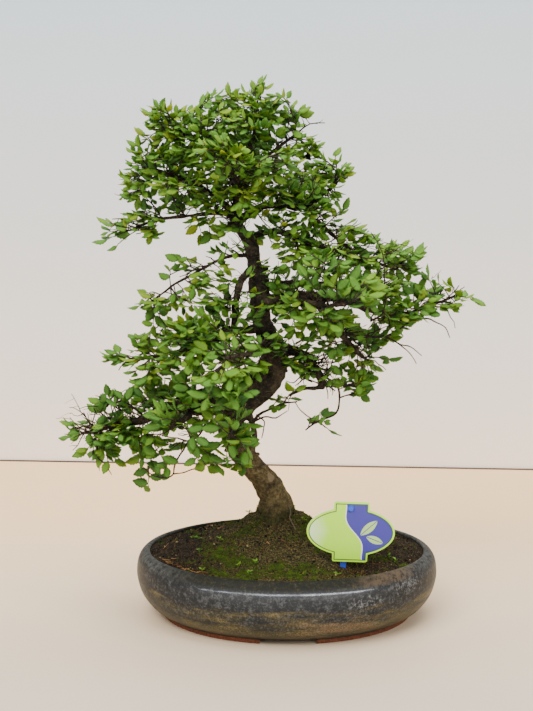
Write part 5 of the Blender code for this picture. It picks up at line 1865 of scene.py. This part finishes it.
def blades(spray):
    """Rows for every leaf of a spray: foot, forward, left, up, length, and youth mixed with painted sun and
    shade.
    """
    rows = []
    for order, shoot in enumerate(spray.shoots):
        stations = leaf_stations(shoot, STEM_BARE if order else LEAD_STEM_BARE)
        outermost = stations[0][0]
        ahead = (shoot.end - shoot.base).normalized()
        left = shoot.normal.cross(ahead)
        for number, (along, angle) in enumerate(stations):
            swing = angle + spray.draw.gauss(0, SWING)
            forward = ahead * cos(swing) + left * sin(swing)
            forward = forward + shoot.normal * spray.draw.gauss(*DIP)
            forward = Vector((forward.x, forward.y, forward.z * LEVELLING)).normalized()
            up = shoot.normal + left * spray.draw.gauss(0, ROLL) + ahead * spray.draw.gauss(0, PITCH)
            up = up.normalized() + TO_LIGHT * 0.7
            side = up.cross(forward).normalized()
            size = shoot.leaf * spray.draw.uniform(*LEAF_SIZES) * (1 if number else END_LEAF_SIZE)
            youth = 1 - min(1, (outermost - along) / (YOUNG_REACH * shoot.leaf))
            # Painted light: higher sprays and leaves on top of a spray are made lighter, and leaves low in a
            # spray darker.
            height = (spray.middle.z - 0.15) / 0.35
            foot = shoot_place(shoot, along, 0)
            sunny = max(-1, min(1, (foot.z - spray.middle.z) / spray.radii.z))
            age_and_light = 0.28 + 0.22 * youth + 0.12 * height + 0.15 * sunny + spray.draw.gauss(0, AGE_DRAW)
            if spray.draw.random() < PALE_SHARE:
                age_and_light += PALE_MORE
            rows.append((foot, forward, side, forward.cross(side) * -1, size, age_and_light))
    return rows


def leaf_mesh(name, rows, draw):
    """Every leaf of a spray in one mesh, each folded, curled and waved in its own way."""
    feet, ahead, left, up = [np.array([row[column] for row in rows]) for column in range(4)]
    size = np.array([row[4] for row in rows])[:, None]
    count = len(rows)
    fold = np.array([draw.uniform(*FOLDS) for _ in rows])[:, None]
    curl = np.array([draw.gauss(*CURLS) for _ in rows])[:, None]
    wave = np.array([draw.uniform(0, tau) for _ in rows])[:, None]
    along, across, face = pattern.T
    thickness = LEAF_THICKNESS / 2 * face * np.where(abs(across) > 0, 0.6, 1)
    height = fold * abs(across) - curl * along**2 + 0.03 * np.sin(7 * along + wave) * across * 4
    lift = size * height + thickness
    places = feet[:, None, :] + size[:, :, None] * along[None, :, None] * ahead[:, None, :]
    places = places + size[:, :, None] * across[None, :, None] * left[:, None, :]
    places = places + lift[:, :, None] * up[:, None, :]
    triangles = pattern_triangles[None] + np.arange(count)[:, None, None] * len(pattern)
    ages = np.repeat(np.array([row[5] for row in rows]), len(pattern))
    blade = np.stack([np.tile(along, count), np.tile(across / LEAF_HALF_WIDTH, count), ages], axis=1)
    notes = {"blade": blade, "under": np.tile((face < 0).astype(float), count)}
    return mesh_from(name, places.reshape(-1, 3), triangles.reshape(-1, 3), notes)


leaf_total = 0
for spray in sprays:
    rows = blades(spray)
    leaf_total += len(rows)
    mesh = leaf_mesh(spray.name, rows, spray.draw)
    stands_for = ["foliage_" + spray.name] if spray.name in SPRAYS else []
    add_piece("leaves_" + spray.name, mesh, foliage, stands_for)
print("Leaves:", leaf_total)


# %% Stems of all sprays
STEM_KINK = 0.4 * MM
STEM_SIDES = 5
LEAD_FOOT = 0.9
SIDE_FOOT = 0.62
STEM_TIP = 0.34
LEAD_TONE = 0.1
SIDE_TONE = 0.2
YOUNG_TONE = 0.95


def stem_rows(shoot, foot, tip):
    """Rows of a stem that kinks towards each leaf."""
    stations = sorted(leaf_stations(shoot, STEM_BARE))
    last = stations[-1][0]
    rows = [(*(shoot.base / MM), foot)]
    for along, angle in stations:
        place = shoot_place(shoot, along, copysign(STEM_KINK, angle))
        rows.append((*(place / MM), foot + (tip - foot) * along / last))
    rows.append((*(shoot_place(shoot, last + shoot.leaf * 0.15, 0) / MM), tip))
    return np.array(rows)


stem_solids = []
stem_tones = []
for spray in sprays:
    for order, shoot in enumerate(spray.shoots):
        foot = SIDE_FOOT if order else min(LEAD_FOOT, spray.root_radius / MM)
        start = SIDE_TONE if order else LEAD_TONE
        rows = stem_rows(shoot, foot, STEM_TIP)
        stem_solids.append(swept(rows, STEM_SIDES))
        tones = start + (YOUNG_TONE - start) * np.linspace(0, 1, len(rows)) ** 1.5
        stem_tones += [*np.repeat(tones, STEM_SIDES), start, YOUNG_TONE]
add_solids("leafy_stems", stem_solids, stem_skin, stem_tones)
print("Stems:", len(stem_solids))

# %% [markdown]
# ## Small growth at the trunk's foot
# A thin brown root comes down beside the trunk on the right, and tiny weeds are spread over the
# soil. The weeds borrow the leaf's pattern at a quarter of its size.

# %% Air root and weeds
AIR_ROOT = ((1, 4, 106, 0.5), (4, 0, 100, 0.55), (3, -4, 94, 0.5), (6, -8, 89, 0.6), (9, -13, 84, 0.5))
WEEDS = (
    (-95, 12), (-89, 6), (-66, -12), (-85, -28), (-36, -80), (-46, -66), (-30, -60), (46, -72), (98, -38),
    (104, -44), (17, 0), (-38, 14), (-80, -74),
)
WEED_LEAVES = 7
WEED_AGE = 0.66
root_skin = Finish("air_root", Roughness=0.75)
root_grain = root_skin.clouds(2 * MM)
root_skin.feed("Base Color", root_skin.blend(root_grain, (0.05, 0.032, 0.015), (0.13, 0.085, 0.040)))
root_skin.relief(root_grain, 0.3 * MM)
add_solids("air_root", [swept(through(AIR_ROOT, 2), 8)], root_skin)

draw = random.Random(15)
weed_rows = []
for x, y in WEEDS:
    for _ in range(WEED_LEAVES):
        turn = draw.uniform(0, tau)
        forward = Vector((cos(turn), sin(turn), draw.uniform(0.3, 1.2))).normalized()
        side = Vector((0, 0, 1)).cross(forward).normalized()
        foot = Vector((x, y, soil_surface(x, y) + draw.uniform(0.2, 2.4))) * MM
        size = draw.uniform(2.6, 4.6) * MM
        weed_rows.append((foot, forward, side, forward.cross(side), size, WEED_AGE))
add_piece("weeds", leaf_mesh("weeds", weed_rows, draw), foliage)
print("Weed leaves:", len(weed_rows))

# %% [markdown]
# ## The plant label
# An oval plate of glossy plastic, stepped out above and below, hangs on a blue peg. The plate is
# drawn as an outline, given its thickness and a small round edge. Its print is plain: a slanted
# wave parts a pale field from a violet one with two simple leaves, inside a lime rim. Arithmetic
# on the plate's own measures draws all of it, so no picture is needed.

# %% Shape the plate
PLAQUE_PLACE = Vector((60, -50, 93.5)) * MM
PLAQUE_SIZE = (84, 47)
PLAQUE_SHOULDER = (34, 58.5)
PLAQUE_LEAN = radians(2)
PLAQUE_THICKNESS = 2.5
PLAQUE_ROUNDING = 0.3
PEG_HOLE = (0, 23, 2.4)
HOLE_SIDES = 32
ARC_STEPS = 20


def plate_outline():
    half_width, half_height = PLAQUE_SIZE[0] / 2, PLAQUE_SIZE[1] / 2
    step, shoulder = PLAQUE_SHOULDER[0] / 2, PLAQUE_SHOULDER[1] / 2
    end = acos(step / half_width)
    quarter = []
    for index in range(ARC_STEPS + 1):
        angle = end * index / ARC_STEPS
        quarter.append((half_width * cos(angle), half_height * sin(angle)))
    quarter += [(step * 0.985, shoulder - 1.4), (step * 0.94, shoulder - 0.35), (step * 0.87, shoulder)]
    top = quarter + [(-x, y) for x, y in reversed(quarter)]
    return top + [(x, -y) for x, y in reversed(top[1:-1])]


def plate_mesh():
    curve = bpy.data.curves.new("plate", "CURVE")
    curve.dimensions = "2D"
    curve.fill_mode = "BOTH"
    curve.extrude = (PLAQUE_THICKNESS / 2 - PLAQUE_ROUNDING) * MM
    curve.bevel_depth = PLAQUE_ROUNDING * MM
    curve.bevel_resolution = 2
    curve.offset = -PLAQUE_ROUNDING * MM
    centre_x, centre_y, hole = PEG_HOLE
    ring = [tau * step / HOLE_SIDES for step in range(HOLE_SIDES)]
    lines = [plate_outline()]
    lines.append([(centre_x + hole * cos(a), centre_y + hole * sin(a)) for a in ring])
    for line in lines:
        spline = curve.splines.new("POLY")
        spline.points.add(len(line) - 1)
        for point, (x, y) in zip(spline.points, line):
            point.co = (x * MM, y * MM, 0, 1)
        spline.use_cyclic_u = True
    return applied(curve)


plate = plate_mesh()
print("The plate has", len(plate.polygons), "faces.")

# %% Print the plate
plastic = Finish("label_print", Roughness=0.3, Specular_IOR_Level=0.3)
x, y, depth = [axis / MM for axis in plastic.split(plastic.place())]


def oval(half_width, half_height):
    """1 inside an oval round the plate's middle."""
    return 1 - (x * x / half_width**2 + y * y / half_height**2) > 0


def panel(half_width, half_height):
    return (half_width - abs(x) > 0) * (half_height - abs(y) > 0)


def lens(centre_x, centre_y, turn, length, width):
    """A plain leaf shape: 1 inside, and its midrib left out."""
    u = (x - centre_x) * cos(turn) + (y - centre_y) * sin(turn)
    v = (y - centre_y) * cos(turn) - (x - centre_x) * sin(turn)
    inside = (1 - u * u / length**2) * width - abs(v) > 0
    return inside * (abs(v) > 0.35)


field = oval(39.2, 20.9).larger(panel(14.4, 26.6))
edge = oval(40.1, 21.8).larger(panel(15.3, 27.5)) * (1 - field)
ripple = y * 0.16
wave = x + y * 0.42 + ripple.math("SINE", ripple) * 3.2 - 3
violet = wave > 0
parting = 0.55 - abs(wave) > 0
leaves = lens(17, 4.5, 0.75, 11, 4.2).larger(lens(23, -7, -0.35, 9, 3.6))
pale = (x * -0.05 - abs(y) * 0.02 - 0.95).larger(0.0).smaller(0.8)
LIME = (0.54, 1.0, 0.02)
VIOLET = (0.055, 0.045, 0.34)
left_field = plastic.blend(pale, LIME, (0.85, 1.0, 0.62))
right_field = plastic.blend(leaves, VIOLET, (0.50, 0.74, 0.22))
fields = plastic.blend(violet, left_field, right_field)
parted = plastic.blend(parting, fields, (0.85, 0.88, 0.85))
printed = plastic.blend(field, LIME, parted)
printed = plastic.blend(edge, printed, (0.03, 0.07, 0.03))
front = depth > 1.0
plastic.feed("Base Color", plastic.blend(front, (0.62, 0.72, 0.45), printed))
scratches = plastic.clouds(2.5 * MM, 5)
plastic.feed("Roughness", scratches * 0.2 + 0.22)
plastic.relief(scratches, 0.05 * MM)
facing = Matrix.Rotation(PLAQUE_LEAN, 4, "Y") @ Matrix.Rotation(pi / 2, 4, "X")
plate_place = Matrix.Translation(PLAQUE_PLACE) @ facing
add_piece("label_plate", plate, plastic, ["label_plaque"], plate_place)
plate.set_sharp_from_angle(angle=radians(35))
print("The label's print has", len(plastic.tree.nodes), "nodes.")

# %% [markdown]
# The blue stake and its peg keep their solids. Moulded plastic is a little uneven in gloss, and
# its foot is dusty with soil.

# %% Finish the stake
stake_plastic = Finish("stake_plastic", Roughness=0.35)
_, _, stake_height = stake_plastic.split(stake_plastic.place())
stake_noise = stake_plastic.clouds(4 * MM)
dusty = (stake_height + (stake_noise - 0.5) * 0.02).fade(60 * MM, 50 * MM) * 0.6
stake_plastic.feed("Base Color", stake_plastic.blend(dusty, (0.015, 0.075, 0.60), (0.07, 0.05, 0.035)))
stake_plastic.feed("Roughness", stake_noise * 0.25 + dusty * 0.4 + 0.2)
stake_plastic.relief(stake_noise, 0.06 * MM)
finish_solid("label_stake", stake_plastic)
print("The stake is finished.")

# %% [markdown]
# ## The studio
# The tree stands on a cream floor before a pale wall. Large soft lights from above, mostly
# from the left and the front, give the soft shadows and the long gleam on the pot's shoulder. Some
# light and shade is also painted: the floor is painted brighter and warmer towards the wall, the
# wall warmer low down and cooler high up, and a dark strip along the wall's foot is a painted
# shadow. The wall is seen through from behind, so that it doesn't hide the tree when the camera
# goes round.


# %% Floor and wall
FLOOR_REACH = 3.0
WALL_Y = 0.644
WALL_SLANT = 0.0765
WALL_HEIGHT = 2.6
SHADOW_LINE_HEIGHT = 0.0025


def flat_sheet(name, corners, finish):
    mesh = mesh_from(name, corners, [(0, 1, 2, 3)])
    sheet = bpy.data.objects.new(name, mesh)
    bpy.context.scene.collection.objects.link(sheet)
    mesh.materials.append(finish.material)


def upright(y, height):
    """Corners of a sheet that stands on the floor, a little nearer at its right end."""
    left = (-FLOOR_REACH, y + FLOOR_REACH * WALL_SLANT)
    right = (FLOOR_REACH, y - FLOOR_REACH * WALL_SLANT)
    return (*left, 0), (*right, 0), (*right, height), (*left, height)


paving = Finish("pale_floor", Roughness=0.6)
floor_cloud = paving.clouds(0.25, 3)
_, floor_back, _ = paving.split(paving.place())
# Painted light: the floor is painted brighter and warmer towards the wall, as if more light fell there.
near_floor = paving.blend(floor_cloud, (0.57, 0.485, 0.40), (0.63, 0.545, 0.45))
painted_lit_far_floor = paving.blend(floor_cloud, (1.0, 0.66, 0.33), (1.0, 0.71, 0.40))
paving.feed("Base Color", paving.blend(floor_back.fade(-0.35, 0.35), near_floor, painted_lit_far_floor))
floor_corners = ((-FLOOR_REACH, -FLOOR_REACH, 0), (FLOOR_REACH, -FLOOR_REACH, 0))
floor_corners += ((FLOOR_REACH, FLOOR_REACH, 0), (-FLOOR_REACH, FLOOR_REACH, 0))
flat_sheet("floor", floor_corners, paving)
plaster = Finish("pale_wall", Roughness=0.9)
wall_cloud = plaster.clouds(0.5, 2)
_, _, wall_up = plaster.split(plaster.place())
# Painted light: the wall is painted warmer and brighter low down and cooler high up.
painted_cool_upper_wall = plaster.blend(wall_cloud, (0.54, 0.66, 0.74), (0.58, 0.68, 0.75))
painted_warm_lower_wall = plaster.blend(wall_cloud, (0.97, 0.90, 0.84), (1.0, 0.93, 0.87))
plaster.feed("Base Color", plaster.blend(wall_up.fade(0.05, 0.75), painted_warm_lower_wall, painted_cool_upper_wall))
clear = plaster.node("BsdfTransparent", {}, {})
back = plaster.node("NewGeometry", {}, {}, "Backfacing")
front_shader = Signal(plaster, plaster.shader.outputs[0])
see_through = plaster.node("MixShader", {}, {0: back, 1: front_shader, 2: clear})
plaster.fill(plaster.tree.nodes["Material Output"].inputs["Surface"], see_through)
flat_sheet("wall", upright(WALL_Y, WALL_HEIGHT), plaster)
# Painted shadow: a thin dark strip along the wall's foot stands for the shade where wall meets floor.
painted_shadow = Finish("dark_gap", Roughness=0.9)
shadow_line_cloud = painted_shadow.clouds(0.05)
painted_shadow.feed("Base Color", painted_shadow.blend(shadow_line_cloud, (0.05, 0.035, 0.03), (0.16, 0.11, 0.09)))
flat_sheet("gap_under_wall", upright(WALL_Y - 0.002, SHADOW_LINE_HEIGHT), painted_shadow)
print("The floor and the wall stand.")


# %% [markdown]
# The key, the fill and the top light shape the tree. A long low strip in front is only there for
# the gleam along the pot's shoulder, so it doesn't light anything else.

# %% Lights
def soft_light(name, place, target, size, power, colour):
    lamp = bpy.data.lights.new(name, "AREA")
    lamp.shape = "RECTANGLE"
    lamp.size, lamp.size_y = size
    lamp.energy = power
    lamp.color = colour
    light = bpy.data.objects.new(name, lamp)
    light.location = place
    light.rotation_euler = (Vector(target) - Vector(place)).to_track_quat("-Z", "Y").to_euler()
    light.visible_camera = False
    bpy.context.scene.collection.objects.link(light)
    return light


soft_light("key", (-0.9, -1.3, 1.9), (0, 0, 0.2), (1.5, 1.1), 58, (1.0, 0.985, 0.95))
soft_light("fill", (1.4, -1.4, 1.2), (0, 0, 0.25), (1.2, 1.2), 20, (1.0, 0.98, 0.95))
soft_light("top", (0.1, 0.2, 1.9), (0.05, 0.05, 0), (1.8, 1.6), 46, (1.0, 0.985, 0.96))
gleam = soft_light("gleam", (0, -1.6, 0.2), (0, 0, 0.05), (4.4, 0.14), 66, (0.92, 0.96, 1.0))
gleam.visible_diffuse = False
world = bpy.data.worlds.new("studio")
world.use_nodes = True
world.node_tree.nodes["Background"].inputs["Color"].default_value = (0.86, 0.90, 0.95, 1)
world.node_tree.nodes["Background"].inputs["Strength"].default_value = 0.64
bpy.context.scene.world = world
print("Four soft lights and a pale sky are lit.")

# %% [markdown]
# ## Triangles
# The pieces' triangles are counted, with the piece that has the most.

# %% Count the triangles
print("Triangles:", sum(triangle_counts.values()), "most in", max(triangle_counts, key=triangle_counts.get))
